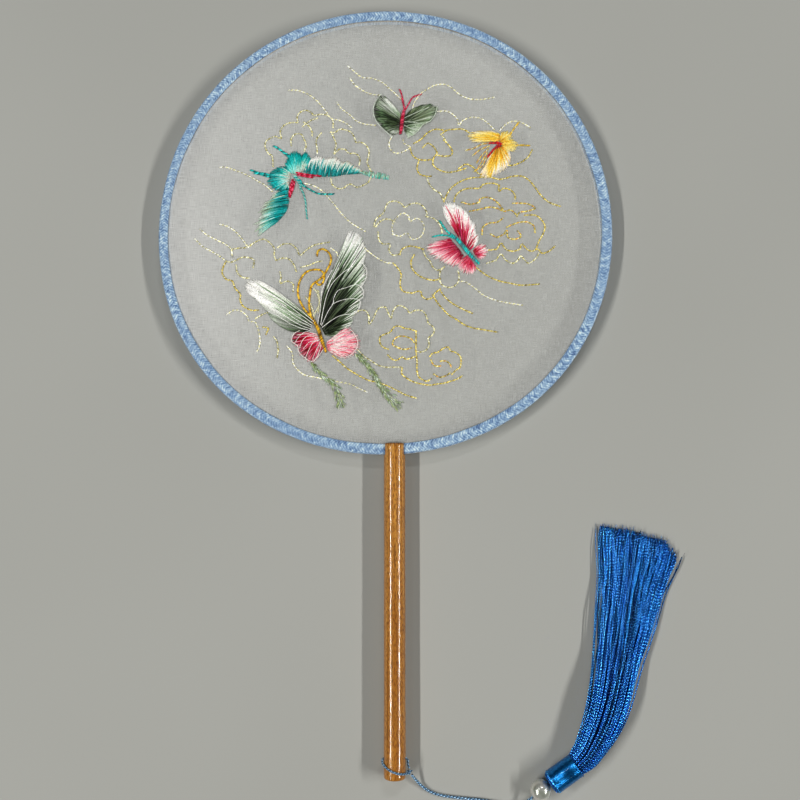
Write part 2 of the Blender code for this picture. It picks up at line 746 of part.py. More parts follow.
def make_embroidery(materials, collection):
    patches = {
        "grey_butterfly_forewing_left": (grey_forewing_left_px, "grey_thread"),
        "grey_butterfly_forewing_right": (grey_forewing_right_px, "grey_thread"),
        "grey_butterfly_hindwing_left": (grey_hindwing_left_px, "pink_thread"),
        "grey_butterfly_hindwing_right": (grey_hindwing_right_px, "pink_thread"),
        "teal_butterfly_upper_body": (teal_upper_body_px, "teal_thread"),
        "teal_butterfly_lower_body": (teal_lower_body_px, "teal_thread"),
        "teal_butterfly_wing_right": (teal_wing_right_px, "teal_thread"),
        "teal_butterfly_wing_low": (teal_wing_lower_px, "teal_thread"),
        "green_butterfly_wing_left": (green_wing_left_px, "grey_thread"),
        "green_butterfly_wing_right": (green_wing_right_px, "grey_thread"),
        "yellow_butterfly_wing_left": (yellow_wing_left_px, "yellow_thread"),
        "yellow_butterfly_wing_top": (yellow_wing_top_px, "yellow_thread"),
        "yellow_butterfly_wing_low": (yellow_wing_lower_px, "yellow_thread"),
        "pink_butterfly_wing_upper": (pink_wing_upper_px, "pink_thread"),
        "pink_butterfly_wing_left": (pink_wing_left_px, "pink_thread"),
        "pink_butterfly_hindwing_right": (pink_hindwing_right_px, "pink_thread"),
        "pink_butterfly_hindwing_low": (pink_hindwing_low_px, "pink_thread"),
    }
    for name, (outline, finish) in patches.items():
        patch(name, outline, materials[finish], collection)
    body_finish = {
        "grey_butterfly_body": "gold_thread",
        "green_butterfly_body": "pink_thread",
        "pink_butterfly_body": "teal_thread",
    }
    for name, ends in bodies_px.items():
        padded_body(name, ends, materials[body_finish[name]], collection)
    lines = {
        "grey_butterfly_feeler_left": (grey_feeler_left_px, gold_feeler_radius, "gold_thread"),
        "grey_butterfly_feeler_right": (grey_feeler_right_px, gold_feeler_radius, "gold_thread"),
        "grey_butterfly_feeler_tip": (grey_feeler_tip_px, gold_feeler_radius, "gold_thread"),
        "grey_butterfly_tail_left": (grey_tail_left_px, gold_feeler_radius, "grey_thread"),
        "grey_butterfly_tail_right": (grey_tail_right_px, gold_feeler_radius, "grey_thread"),
        "teal_butterfly_feeler_high": (teal_feeler_high_px, gold_feeler_radius, "teal_thread"),
        "teal_butterfly_feeler_low": (teal_feeler_low_px, gold_feeler_radius, "teal_thread"),
        "teal_butterfly_leg": (teal_leg_px, feeler_thread_radius, "teal_thread"),
        "green_butterfly_feeler": (green_feeler_px, feeler_thread_radius, "pink_thread"),
        "yellow_butterfly_feeler_high": (yellow_feeler_high_px, feeler_thread_radius, "yellow_thread"),
        "yellow_butterfly_feeler_low": (yellow_feeler_low_px, feeler_thread_radius, "yellow_thread"),
        "pink_butterfly_feeler_high": (pink_feeler_high_px, feeler_thread_radius, "teal_thread"),
        "pink_butterfly_feeler_low": (pink_feeler_low_px, feeler_thread_radius, "teal_thread"),
    }
    for name, (line, radius, finish) in lines.items():
        stitched_line(name, line, radius, materials[finish], collection)
    for name, line in cloud_lines_px.items():
        stitched_line(name, line, line_thread_radius, materials["cloud_thread"], collection)


def make_materials():
    return {
        "bamboo": make_material("bamboo", (0.72, 0.55, 0.30), 0.6),
        "silk": make_material("silk", (0.80, 0.81, 0.79), 0.5),
        "tape": make_material("tape", (0.35, 0.52, 0.80), 0.55),
        "wood": make_material("wood", (0.42, 0.21, 0.07), 0.3),
        "cord": make_material("cord", (0.10, 0.32, 0.62), 0.5),
        "pearl": make_material("pearl", (0.72, 0.70, 0.62), 0.2),
        "thread": make_material("thread", (0.02, 0.18, 0.60), 0.4),
        "band": make_material("band", (0.02, 0.09, 0.30), 0.3),
        "grey_thread": make_material("grey_thread", (0.16, 0.23, 0.19), 0.45),
        "pink_thread": make_material("pink_thread", (0.66, 0.06, 0.16), 0.45),
        "teal_thread": make_material("teal_thread", (0.02, 0.42, 0.42), 0.45),
        "yellow_thread": make_material("yellow_thread", (0.90, 0.62, 0.10), 0.45),
        "gold_thread": make_material("gold_thread", (0.72, 0.42, 0.04), 0.4),
        "cloud_thread": make_material("cloud_thread", (0.72, 0.66, 0.36), 0.4),
    }


def make_fan():
    clear_scene()
    collection = new_collection("round_embroidered_fan")
    cutters = new_collection("cutters")
    materials = make_materials()
    make_hoop(materials, collection)
    make_silk(materials, collection)
    make_binding(materials, collection)
    make_handle(materials, collection, cutters)
    make_loop(materials, collection)
    make_knot(materials, collection)
    make_cord(materials, collection)
    make_bead(materials, collection)
    make_head(materials, collection)
    make_band(materials, collection)
    make_skirt(materials, collection)
    make_embroidery(materials, collection)


make_fan()
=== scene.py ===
import math
import random

import bmesh
import bpy
import numpy as np
from mathutils import Euler, Matrix, Vector


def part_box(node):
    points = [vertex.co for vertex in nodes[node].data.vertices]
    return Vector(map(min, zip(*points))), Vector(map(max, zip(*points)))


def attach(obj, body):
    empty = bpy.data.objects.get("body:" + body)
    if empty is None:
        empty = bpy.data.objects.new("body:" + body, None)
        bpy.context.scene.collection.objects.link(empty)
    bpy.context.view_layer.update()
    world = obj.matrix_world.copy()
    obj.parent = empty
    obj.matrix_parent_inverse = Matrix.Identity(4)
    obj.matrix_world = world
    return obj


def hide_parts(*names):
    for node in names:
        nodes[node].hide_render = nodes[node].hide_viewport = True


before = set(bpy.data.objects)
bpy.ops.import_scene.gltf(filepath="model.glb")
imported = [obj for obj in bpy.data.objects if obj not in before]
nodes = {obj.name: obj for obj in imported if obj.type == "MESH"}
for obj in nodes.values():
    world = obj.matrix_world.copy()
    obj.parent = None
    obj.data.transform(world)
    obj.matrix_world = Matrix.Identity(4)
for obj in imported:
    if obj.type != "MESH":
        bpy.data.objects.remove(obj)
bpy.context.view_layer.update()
print("frame loaded:", len(nodes), "solids")


def addObject(name, data):
    ob = bpy.data.objects.new(name, data)
    bpy.context.scene.collection.objects.link(ob)
    return ob


# The camera comes first: every stitch is placed through it
camera = {
    "place": (0.0238, -0.06115, 0.5669),
    "tilt": (5.14, 1.5, -0.07),  # degrees about X, Y and Z
    "lens": 45.0,
    "sensor": 36.0,
    "clipStart": 0.01,
    "photoSize": 800,  # pixels across the photograph
}


def makeCamera(c):
    data = bpy.data.cameras.new("photoCamera")
    data.lens, data.sensor_width, data.clip_start = c["lens"], c["sensor"], c["clipStart"]
    data.sensor_fit = 'HORIZONTAL'
    ob = addObject("photoCamera", data)
    ob.location = c["place"]
    ob.rotation_euler = [math.radians(a) for a in c["tilt"]]
    bpy.context.scene.camera = ob


makeCamera(camera)

# The round face: the height of its middle up the fan, metres for each pixel on it, and
# how far the stitches' middles stand above the silk
face = {"y": 0.08785, "pixel": 0.130 / 227.2, "stitchHeight": 0.0006}
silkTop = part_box("silk_panel")[1][2]


# Where the stitches at these pixels of the photograph lie on the silk
def onFace(points, height=0.0):
    p = np.array(points, float)
    focal = camera["lens"] / camera["sensor"] * camera["photoSize"]
    middle = camera["photoSize"] / 2
    turn = Euler([math.radians(a) for a in camera["tilt"]]).to_matrix()
    sight = np.column_stack([p[:, 0] - middle, middle - p[:, 1], np.full(len(p), -focal)])
    sight = sight @ np.array(turn).T
    eye = np.array(camera["place"])
    reach = (silkTop + face["stitchHeight"] - eye[2]) / sight[:, 2]
    spot = eye[:2] + sight[:, :2] * reach[:, None]
    return np.column_stack([spot, np.full(len(p), silkTop + height)])


# Linear light from a colour code
def linear(hexColour):
    channels = [int(hexColour[i:i + 2], 16) / 255 for i in (0, 2, 4)]
    return np.array([c / 12.92 if c <= 0.04045 else ((c + 0.055) / 1.055) ** 2.4 for c in channels])


# How far along its path each point is
def pathLengths(path):
    return np.concatenate([[0], np.cumsum(np.linalg.norm(np.diff(path, axis=0), axis=1))])


def unit(vectors):
    return vectors / np.maximum(np.linalg.norm(vectors, axis=1, keepdims=True), 1e-12)


# Points at equal steps along a path
def evenly(points, step):
    along = pathLengths(points)
    wanted = np.linspace(0, along[-1], max(2, int(round(along[-1] / step)) + 1))
    return np.column_stack([np.interp(wanted, along, points[:, k]) for k in range(points.shape[1])])


# A smooth curve through the points
def smoothRun(points, fine=10):
    p = np.array(points, float)
    p = np.vstack([2 * p[0] - p[1], p, 2 * p[-1] - p[-2]])
    t = np.linspace(0, 1, fine, endpoint=False)[:, None]
    runs = [0.5 * (2 * b + (c - a) * t + (2 * a - 5 * b + 4 * c - d) * t ** 2
                   + (3 * b - a - 3 * c + d) * t ** 3)
            for a, b, c, d in zip(p[:-3], p[1:-2], p[2:-1], p[3:])]
    return np.vstack([*runs, p[-2][None, :]])


# Smooth between cusps: a None marks a cusp at the point before it
def smoothPixels(points):
    runs, piece = [], []
    for p in points:
        if p is None:
            runs.append(smoothRun(piece))
            piece = [piece[-1]]
        else:
            piece.append(p)
    runs.append(smoothRun(piece))
    return np.vstack(runs)


# Side and up directions that don't twist along a path in space
def turned(path):
    tangent = unit(np.gradient(path, axis=0))
    up = np.zeros_like(path)
    start = np.array([0, 0, 1.0]) if abs(tangent[0][2]) < 0.9 else np.array([0, 1.0, 0])
    up[0] = start - tangent[0] * (start @ tangent[0])
    up[0] /= np.linalg.norm(up[0])
    for i in range(1, len(path)):
        u = up[i - 1] - tangent[i] * (up[i - 1] @ tangent[i])
        up[i] = u / max(np.linalg.norm(u), 1e-12)
    return np.cross(tangent, up), up


# The way a path runs over the face
def flatWay(path):
    way = np.gradient(path, axis=0)
    way[:, 2] = 0
    return unit(way)


# The side direction of each flat way
def sideOf(way):
    return np.column_stack([way[:, 1], -way[:, 0], np.zeros(len(way))])


# Many threads in one mesh, with a colour at each point, and length and turn in the UVs
class Threads:
    def __init__(self):
        self.points, self.corners, self.sizes, self.uvs, self.colours = [], [], [], [], []
        self.count = 0

    def add(self, path, width, height=None, colour=(1, 1, 1), sides=4, axes=None, pitch=0.002, begin=0.0):
        n = len(path)
        side, up = axes or (sideOf(flatWay(path)), np.tile([0, 0, 1.0], (n, 1)))
        width = np.broadcast_to(width, n)[:, None, None]
        height = width if height is None else np.broadcast_to(height, n)[:, None, None]
        angle = np.arange(sides) / sides * 2 * np.pi
        ring = (side[:, None, :] * np.cos(angle)[None, :, None] * width
                + up[:, None, :] * np.sin(angle)[None, :, None] * height)
        self.points.append((path[:, None, :] + ring).reshape(-1, 3))
        self.colours.append(np.repeat(np.broadcast_to(np.atleast_2d(colour), (n, 3)), sides, axis=0))
        i, k = np.arange(n - 1)[:, None], np.arange(sides)[None, :]
        after = (k + 1) % sides
        quads = np.stack([i * sides + k, i * sides + after, (i + 1) * sides + after, (i + 1) * sides + k], -1)
        self.corners.append(quads.reshape(-1) + self.count)
        self.sizes.append(np.full((n - 1) * sides, 4))
        along = begin + pathLengths(path) / pitch
        a0, a1, r0, r1 = np.broadcast_arrays(along[:-1, None], along[1:, None], k / sides, (k + 1) / sides)
        uv = np.stack([np.stack(pair, -1) for pair in ((a0, r0), (a0, r1), (a1, r1), (a1, r0))], 2)
        self.uvs.append(uv.reshape(-1, 2))
        caps = ((0, range(sides - 1, -1, -1), along[0]), ((n - 1) * sides, range(sides), along[-1]))
        for first, order, at in caps:
            self.corners.append(np.array(order) + first + self.count)
            self.sizes.append(np.array([sides]))
            self.uvs.append(np.tile([[at, 0.5]], (sides, 1)))
        self.count += n * sides

    def mesh(self, name):
        points, colours = np.vstack(self.points), np.vstack(self.colours)
        corners, sizes = np.concatenate(self.corners).astype(np.int32), np.concatenate(self.sizes)
        starts = np.concatenate([[0], np.cumsum(sizes)[:-1]]).astype(np.int32)
        mesh = bpy.data.meshes.new(name)
        mesh.vertices.add(len(points))
        mesh.vertices.foreach_set("co", points.astype(np.float32).ravel())
        mesh.loops.add(len(corners))
        mesh.loops.foreach_set("vertex_index", corners)
        mesh.polygons.add(len(sizes))
        mesh.polygons.foreach_set("loop_start", starts)
        mesh.update(calc_edges=True)
        layer = mesh.uv_layers.new(name="threadWay")
        layer.data.foreach_set("uv", np.vstack(self.uvs).astype(np.float32).ravel())
        tint = mesh.color_attributes.new("threadColour", 'FLOAT_COLOR', 'POINT')
        solid = np.column_stack([colours, np.ones(len(colours))])
        tint.data.foreach_set("color", solid.astype(np.float32).ravel())
        mesh.shade_smooth()
        return mesh


# One finished piece: its finish, the body it rides on, and the solids it stands for, which are hidden; the
# slot is not used
def place(name, mesh, material, body, slot, *replaced):
    ob = addObject(name, mesh)
    mesh.materials.append(material)
    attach(ob, body)
    if replaced:
        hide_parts(*replaced)
    return ob


def cleanUp(mesh):
    form = bmesh.new()
    form.from_mesh(mesh)
    bmesh.ops.remove_doubles(form, verts=form.verts, dist=1e-6)
    bmesh.ops.recalc_face_normals(form, faces=form.faces)
    form.to_mesh(mesh)
    form.free()
    mesh.shade_smooth()


# Turns (radius, height) points about a direction: a closed profile makes a ring
def lathe(name, profile, steps, centre, direction, closed=True, wobble=None):
    profile = np.array(profile, float)
    n = len(profile)
    angle = np.arange(steps)[:, None] / steps * 2 * np.pi
    radius = np.broadcast_to(profile[:, 0], (steps, n)).copy()
    height = np.broadcast_to(profile[:, 1], (steps, n)).copy()
    if wobble is not None:
        outward, upward = wobble(angle, profile[None, :, 0], profile[None, :, 1], np.arange(n)[None, :])
        radius += outward
        height += upward
    turn = np.array(Vector((0, 0, 1)).rotation_difference(Vector(direction)).to_matrix())
    points = np.stack([radius * np.cos(angle), radius * np.sin(angle), height], -1).reshape(-1, 3)
    points = points @ turn.T + np.array(centre)
    faces, uvs = [], []
    last = n if closed else n - 1
    for i in range(steps):
        for k in range(last):
            here, after, up = i * n, (i + 1) % steps * n, (k + 1) % n
            faces.append((here + k, here + up, after + up, after + k))
            uvs += [(a / steps, b / last) for a, b in ((i, k), (i, k + 1), (i + 1, k + 1), (i + 1, k))]
    mesh = bpy.data.meshes.new(name)
    mesh.from_pydata(points.tolist(), [], faces)
    mesh.uv_layers.new(name="around").data.foreach_set("uv", np.array(uvs, np.float32).ravel())
    cleanUp(mesh)
    return mesh


# A material's nodes; a socket takes a number, a colour or another node's output
class Graph:
    def __init__(self, name, sockets):
        self.material = bpy.data.materials.new(name)
        self.material.use_nodes = True
        self.tree = self.material.node_tree
        self.shader = self.tree.nodes["Principled BSDF"]
        self.set(self.shader, sockets)

    def set(self, node, sockets):
        for key, value in sockets.items():
            if isinstance(value, bpy.types.NodeSocket):
                self.tree.links.new(value, node.inputs[key])
            else:
                node.inputs[key].default_value = (*value, 1.0) if isinstance(value, np.ndarray) else value

    def node(self, kind, sockets, **settings):
        made = self.tree.nodes.new(kind)
        for key, value in settings.items():
            setattr(made, key, value)
        self.set(made, sockets)
        return made

    def math(self, operation, a, b=0.0, c=0.0):
        return self.node("ShaderNodeMath", {0: a, 1: b, 2: c}, operation=operation).outputs[0]

    def coordinates(self):
        return self.node("ShaderNodeTexCoord", {}).outputs["Object"]

    def uvs(self, layer):
        return self.node("ShaderNodeUVMap", {}, uv_map=layer).outputs[0]

    def parts(self, vector):
        return self.node("ShaderNodeSeparateXYZ", {0: vector}).outputs

    def scaled(self, vector, scale):
        return self.node("ShaderNodeMapping", {"Vector": vector, "Scale": scale}).outputs[0]

    def noise(self, scale, detail=2.0, roughness=0.5, stretch=(1, 1, 1), vector=None):
        if vector is None:
            vector = self.scaled(self.coordinates(), stretch)
        return self.node("ShaderNodeTexNoise", {
            "Vector": vector, "Scale": scale, "Detail": detail, "Roughness": roughness}).outputs[0]

    def ramp(self, factor, *stops):
        made = self.node("ShaderNodeValToRGB", {"Fac": factor})
        band = made.color_ramp
        while len(band.elements) < len(stops):
            band.elements.new(0.5)
        for element, (at, colour) in zip(band.elements, stops):
            element.position = at
            element.color = (*(linear(colour) if isinstance(colour, str) else [colour] * 3), 1)
        return made.outputs[0]

    def mix(self, factor, a, b, blend='MIX'):
        made = self.node("ShaderNodeMix", {0: factor, 6: a, 7: b}, data_type='RGBA', blend_type=blend)
        return made.outputs[2]

    def bump(self, height, strength, distance, socket="Normal"):
        made = self.node("ShaderNodeBump", {"Height": height, "Strength": strength, "Distance": distance})
        self.set(self.shader, {socket: made.outputs[0]})

    def finish(self, sockets):
        self.set(self.shader, sockets)
        return self.material


# Plied thread: slanting stripes round each strand, with painted shade in the grooves between the plies, a
# painted highlight on their crowns, and the thread's own tint
def twistedMaterial(name, low, mid, high, roughness, shine):
    g = Graph(name, {"Roughness": roughness, "Metallic": shine, "Specular IOR Level": 0.35})
    along, around = g.parts(g.uvs("threadWay"))[:2]
    phase = g.math('ADD', along, g.math('MULTIPLY', around, 2.0))
    ply = g.math('ABSOLUTE', g.math('SINE', g.math('MULTIPLY', phase, math.pi)))
    # Painted shade and highlight: the low colour sits in the grooves, the high colour on the crowns
    shade = g.ramp(ply, (0.0, low), (0.55, mid), (0.97, high))
    shade = g.mix(g.math('MULTIPLY', g.noise(260.0), 0.35), shade, linear(mid))
    tint = g.node("ShaderNodeVertexColor", {}, layer_name="threadColour").outputs[0]
    g.bump(ply, 0.7, 0.0002)
    return g.finish({"Base Color": g.mix(1.0, shade, tint, 'MULTIPLY')})


# Embroidery floss: the stitches' own colours, a little uneven, with a silky gloss, and all painted 1.13 times
# brighter, past white, to make up for the stitches' own shade
def flossMaterial():
    g = Graph("embroideryFloss", {"Roughness": 0.34, "Specular IOR Level": 0.32,
                                  "Sheen Weight": 0.1, "Sheen Roughness": 0.4})
    tint = g.node("ShaderNodeVertexColor", {}, layer_name="threadColour").outputs[0]
    fibre = g.noise(1500.0, 3.0, 0.6)
    patchy = g.ramp(fibre, (0.36, 0.6), (0.54, 1.0))
    # Painted light: the tint is raised 1.13 times, past white
    paintedBrightness = g.mix(1.0, tint, np.full(3, 1.13), 'MULTIPLY')
    g.bump(fibre, 0.35, 0.0001)
    return g.finish({"Base Color": g.mix(1.0, paintedBrightness, patchy, 'MULTIPLY')})


# Sheer organza: warp and weft that let most of what is behind through, with a painted sheen that makes it
# denser and whiter towards the left
def silkMaterial():
    g = Graph("sheerSilk", {"Roughness": 0.40, "Metallic": 0.18,
                            "Sheen Weight": 0.3, "Sheen Roughness": 0.3})
    across = g.noise(1.0, 2.0, 0.6, (160, 4200, 1))
    upward = g.noise(1.0, 2.0, 0.6, (4200, 160, 1))
    slubs = g.math('ADD', across, upward)
    cover = g.math('MULTIPLY_ADD', slubs, 0.44, -0.23)
    cover = g.math('MULTIPLY_ADD', g.noise(18.0), 0.08, cover)
    # Painted sheen: the cover rises and the colour turns whiter towards the left, standing in for the left
    # light's reflection
    fromMiddle = g.parts(g.coordinates())[0]
    cover = g.math('ADD', cover, g.math('MAXIMUM', g.math('MULTIPLY', fromMiddle, -0.85), 0.0))
    paintedSheenLeft = g.ramp(g.math('MULTIPLY', fromMiddle, -10.0), (0.0, 0.0), (1.0, 1.0))
    g.bump(slubs, 0.25, 0.0001)
    return g.finish({"Base Color": g.mix(paintedSheenLeft, linear("eceeec"), linear("f6f7f6")),
                     "Alpha": g.math('MINIMUM', g.math('MAXIMUM', cover, 0.08), 0.5)})


# Woven tape: small pale and dark figures on periwinkle, with a fine rib across it
def tapeMaterial():
    g = Graph("wovenTape", {"Roughness": 0.5, "Sheen Weight": 0.3, "Specular IOR Level": 0.5})
    flat = g.scaled(g.uvs("around"), (817.0, 17.0, 1.0))  # unrolled, in figures' widths
    figures = g.noise(0.50, 3.0, 0.6, vector=flat)
    curls = g.node("ShaderNodeTexVoronoi", {"Vector": flat, "Scale": 0.30, "Randomness": 0.9}, feature='F1')
    along, across = g.parts(flat)[:2]
    slant = g.math('ADD', along, g.math('PINGPONG', across, 2.0))
    weave = g.math('SINE', g.math('MULTIPLY', slant, 2 * math.pi / 1.7))
    woven = g.math('MULTIPLY_ADD', weave, 0.065, figures)
    shade = g.ramp(woven, (0.31, "486590"), (0.45, "7795bb"), (0.56, "9fbed8"), (0.69, "e2f2f4"))
    shade = g.mix(g.ramp(curls.outputs["Distance"], (0.25, 0.35), (0.6, 0.0)), shade, linear("b6cedf"))
    shade = g.mix(g.ramp(g.noise(14.0), (0.35, 0.45), (0.65, 0.0)), shade, linear("7f9ec2"))
    g.bump(g.math('MULTIPLY_ADD', weave, 0.3, figures), 0.5, 0.00025)
    return g.finish({"Base Color": shade})


# Light reddish hardwood, varnished: fine pores, long streaks, and dark end grain above grainTop
def woodMaterial(grainTop):
    g = Graph("oiledWood", {"Specular IOR Level": 0.25, "Coat Weight": 1.0, "Coat Roughness": 0.07})
    streak = g.noise(1.0, 5.0, 0.6, (520, 9, 520))
    broad = g.noise(1.0, 3.0, 0.5, (110, 3, 110))
    pores = g.noise(1.0, 2.0, 0.5, (2600, 60, 2600))
    flecks = g.noise(1.0, 3.0, 0.6, (1700, 520, 1700))
    shade = g.ramp(streak, (0.30, "8e5a22"), (0.46, "c48a3a"), (0.60, "dea552"), (0.74, "f0be6e"))
    shade = g.mix(g.ramp(broad, (0.35, 0.5), (0.65, 0.0)), shade, linear("9a6019"))
    shade = g.mix(g.ramp(flecks, (0.38, 0.75), (0.53, 0.0)), shade, linear("6e3a0c"))
    endGrain = g.math('MULTIPLY_ADD', g.parts(g.coordinates())[1], 700.0, -700.0 * grainTop)
    shade = g.mix(g.ramp(endGrain, (0.2, 0.0), (0.8, 0.8)), shade, linear("5c3010"))
    dark = g.ramp(pores, (0.30, 0.75), (0.42, 0.0))
    g.bump(flecks, 0.22, 0.0002, "Coat Normal")
    g.bump(g.math('SUBTRACT', streak, g.math('MULTIPLY', dark, 0.8)), 0.25, 0.0002)
    return g.finish({"Base Color": g.mix(dark, shade, linear("4a2809")),
                     "Roughness": g.math('MULTIPLY_ADD', streak, 0.2, 0.42)})


def bambooMaterial():
    g = Graph("splitBamboo", {"Roughness": 0.6})
    fibre = g.noise(1.0, 4.0, 0.6, (180, 180, 1400))
    g.bump(fibre, 0.3, 0.0002)
    return g.finish({"Base Color": g.ramp(fibre, (0.3, "9a7440"), (0.7, "d3b27a"))})


# Pearl lustre: soft cloudy ivory under a clear gloss, a little greener and pinker in places
def pearlMaterial():
    g = Graph("pearlLustre", {"Roughness": 0.22, "Coat Weight": 0.9, "Coat Roughness": 0.05,
                              "Sheen Weight": 0.4, "Sheen Roughness": 0.3, "Metallic": 0.45})
    cloudy = g.ramp(g.noise(190.0), (0.3, "b4b9ae"), (0.5, "cfd2ca"), (0.7, "d8d2cc"))
    return g.finish({"Base Color": cloudy})


# Satin-wound thread: close turns that shine across the winding
def bandMaterial(turns):
    g = Graph("satinBand", {"Roughness": 0.30, "Specular IOR Level": 0.3, "Metallic": 0.85,
                            "Coat Weight": 0.35, "Coat Roughness": 0.12})
    winding = g.math('SINE', g.math('MULTIPLY', g.parts(g.uvs("around"))[1], 2 * math.pi * turns))
    g.bump(winding, 0.2, 0.0001)
    return g.finish({"Base Color": g.ramp(g.noise(900.0), (0.3, "0a5ca0"), (0.7, "2a92d8"))})


# The filler under the head's threads, coloured darker than the threads: painted shade in the gaps between
# them
def shadeCoreMaterial():
    g = Graph("paintedShadeCore", {"Roughness": 0.6})
    return g.finish({"Base Color": g.ramp(g.noise(700.0), (0.3, "052a63"), (0.7, "0b4590"))})


floss = flossMaterial()
# In each, the first colour is painted groove shade and the last a painted highlight
cordMaterial = twistedMaterial("pliedCord", "0a2c56", "3c78a8", "c0dcee", 0.36, 0.1)
tasselMaterial = twistedMaterial("pliedTassel", "00063a", "0446bc", "52bafc", 0.25, 0.7)
print("materials made")


# Cords: the loop through the handle, its knot, and the free cord to the tassel
def heading(degrees):
    return np.array([math.cos(math.radians(degrees)), math.sin(math.radians(degrees)), 0.0])


upright = np.array([0, 0, 1.0])
handle = {"diameter": 0.0120, "length": 0.1829, "x": 0.0061, "z": 0.00655, "low": -0.21785,
          "rounding": 0.0015, "topRounding": 0.0006, "shoulder": 0.004, "hole": 0.0028, "holeUp": 0.0112,
          "grip": 0.0003, "endGrain": 0.0014}
bead = {"middle": np.array([0.0852, -0.22335, 0.00575]), "radius": 0.00565, "bore": 0.0012,
        "way": heading(41)}
knot = {"middle": np.array([0.01385, -0.21425, 0.0060]), "size": 0.00036,
        "plyRadius": 0.00027, "offset": 0.00022, "pitch": 0.0026,
        "stub": [(0.0004, 0.0002, 0), (0.0012, 0.0006, 0.0004), (0.0017, 0.0011, 0.0009)],
        "stubRadius": 0.00024, "stubOffset": 0.0002, "stubPitch": 0.0022, "step": 0.0003}
freeCord = {
    "route": [
        (0.0153, -0.21595, 0.0054), (0.0178, -0.2193, 0.0034), (0.0207, -0.2227, 0.0017),
        (0.0252, -0.2259, 0.00100), (0.0318, -0.2280, 0.00095), (0.0422, -0.2293, 0.00095),
        (0.0540, -0.2303, 0.00095), (0.0630, -0.2317, 0.00105), (0.0705, -0.2324, 0.0015),
        (0.0758, -0.2309, 0.0033), (0.0790, -0.2287, 0.0050),
    ],
    "throughBead": 0.0051,  # from the bead's middle, both ways
    "diameter": 0.0017,
    "plyRadius": 0.00046,
    "pitch": 0.0019,
    "step": 0.00045,
}
loopCord = {
    "radius": 0.00065, "plyRadius": 0.00036, "pitch": 0.0019, "step": 0.00035,
    "seat": 0.00672,  # from the handle's axis to the cord's
    "fromKnot": (0, 0.0022, 0.00034), "toKnot": (0, 0, 0.0022),
    # degrees round the handle, how far off the seat, and metres from the handle's end
    "route": [(0, 0.00035, 0.00835), (0, 0.00035, 0.0101), (0, -0.00055, 0.01092), (0, -0.003445, 0.0112),
              (180, -0.003445, 0.0112), (180, -0.0003, 0.0107), (170, 0.0001, 0.0090), (150, 0, 0.0081),
              (125, 0, 0.0067), (100, 0, 0.0055), (75, 0, 0.0045), (50, 0, 0.0039), (32, 0, 0.0037)],
}


# Two strands that wind round one another along a path, the first painted brighter and the second darker: a
# painted highlight and painted shade on plies of one colour
def twoPly(threads, path, plyRadius, offset, pitch, step):
    path = evenly(path, step)
    side, up = turned(path)
    along = pathLengths(path)
    # Painted light: one ply 1.45 times brighter, the other half as bright
    for share, paintedPlyTone in ((0, 1.45), (0.5, 0.5)):
        angle = (2 * np.pi * (along / pitch + share))[:, None]
        strand = path + (side * np.cos(angle) + up * np.sin(angle)) * offset
        threads.add(strand, plyRadius, colour=np.ones(3) * paintedPlyTone, sides=6, axes=turned(strand), pitch=0.0011)
    return along[-1]


def makeFreeCord(c):
    through = bead["way"] * c["throughBead"]
    path = smoothRun([*c["route"], bead["middle"] - through, bead["middle"], bead["middle"] + through])
    threads = Threads()
    offset = c["diameter"] / 2 - c["plyRadius"]
    length = twoPly(threads, path, c["plyRadius"], offset, c["pitch"], c["step"])
    cord = place("tasselCord", threads.mesh("tasselCord"), cordMaterial, "cord", "cord", "tassel_cord")
    return cord, evenly(path, 0.0012), length


# The same way round as the solid: up from the knot, through the hole, back over the front
def makeLoop(c):
    route = [knot["middle"] + np.array(c["fromKnot"])]
    for degrees, off, fromEnd in c["route"]:
        out = heading(degrees) * (c["seat"] + off)
        route.append((handle["x"] + out[0], handle["low"] + fromEnd, handle["z"] + out[1]))
    route.append(knot["middle"] + np.array(c["toKnot"]))
    threads = Threads()
    twoPly(threads, smoothRun(route), c["plyRadius"], c["radius"] - c["plyRadius"], c["pitch"], c["step"])
    return place("cordLoop", threads.mesh("cordLoop"), cordMaterial, "fan", "cord", "cord_loop")


# An overhand knot pulled small, with the cord's cut stub
def makeKnot(c):
    t = np.linspace(0, 2 * np.pi, 90)
    trefoil = np.column_stack([np.sin(t) + 2 * np.sin(2 * t), np.cos(t) - 2 * np.cos(2 * t),
                               -1.5 * np.sin(3 * t)])
    threads = Threads()
    twoPly(threads, c["middle"] + trefoil * c["size"], c["plyRadius"], c["offset"], c["pitch"], c["step"])
    stub = smoothRun([c["middle"] + np.array(p) for p in c["stub"]])
    twoPly(threads, stub, c["stubRadius"], c["stubOffset"], c["stubPitch"], c["step"])
    return place("hitchKnot", threads.mesh("hitchKnot"), cordMaterial, "knot", "cord", "hitch_knot")


tasselCord, cordPath, cordLength = makeFreeCord(freeCord)
makeLoop(loopCord)
hitchKnot = makeKnot(knot)
nodes["cord_end_knot"].data.materials[0] = cordMaterial
print("cords made, free cord", round(cordLength, 4), "m")


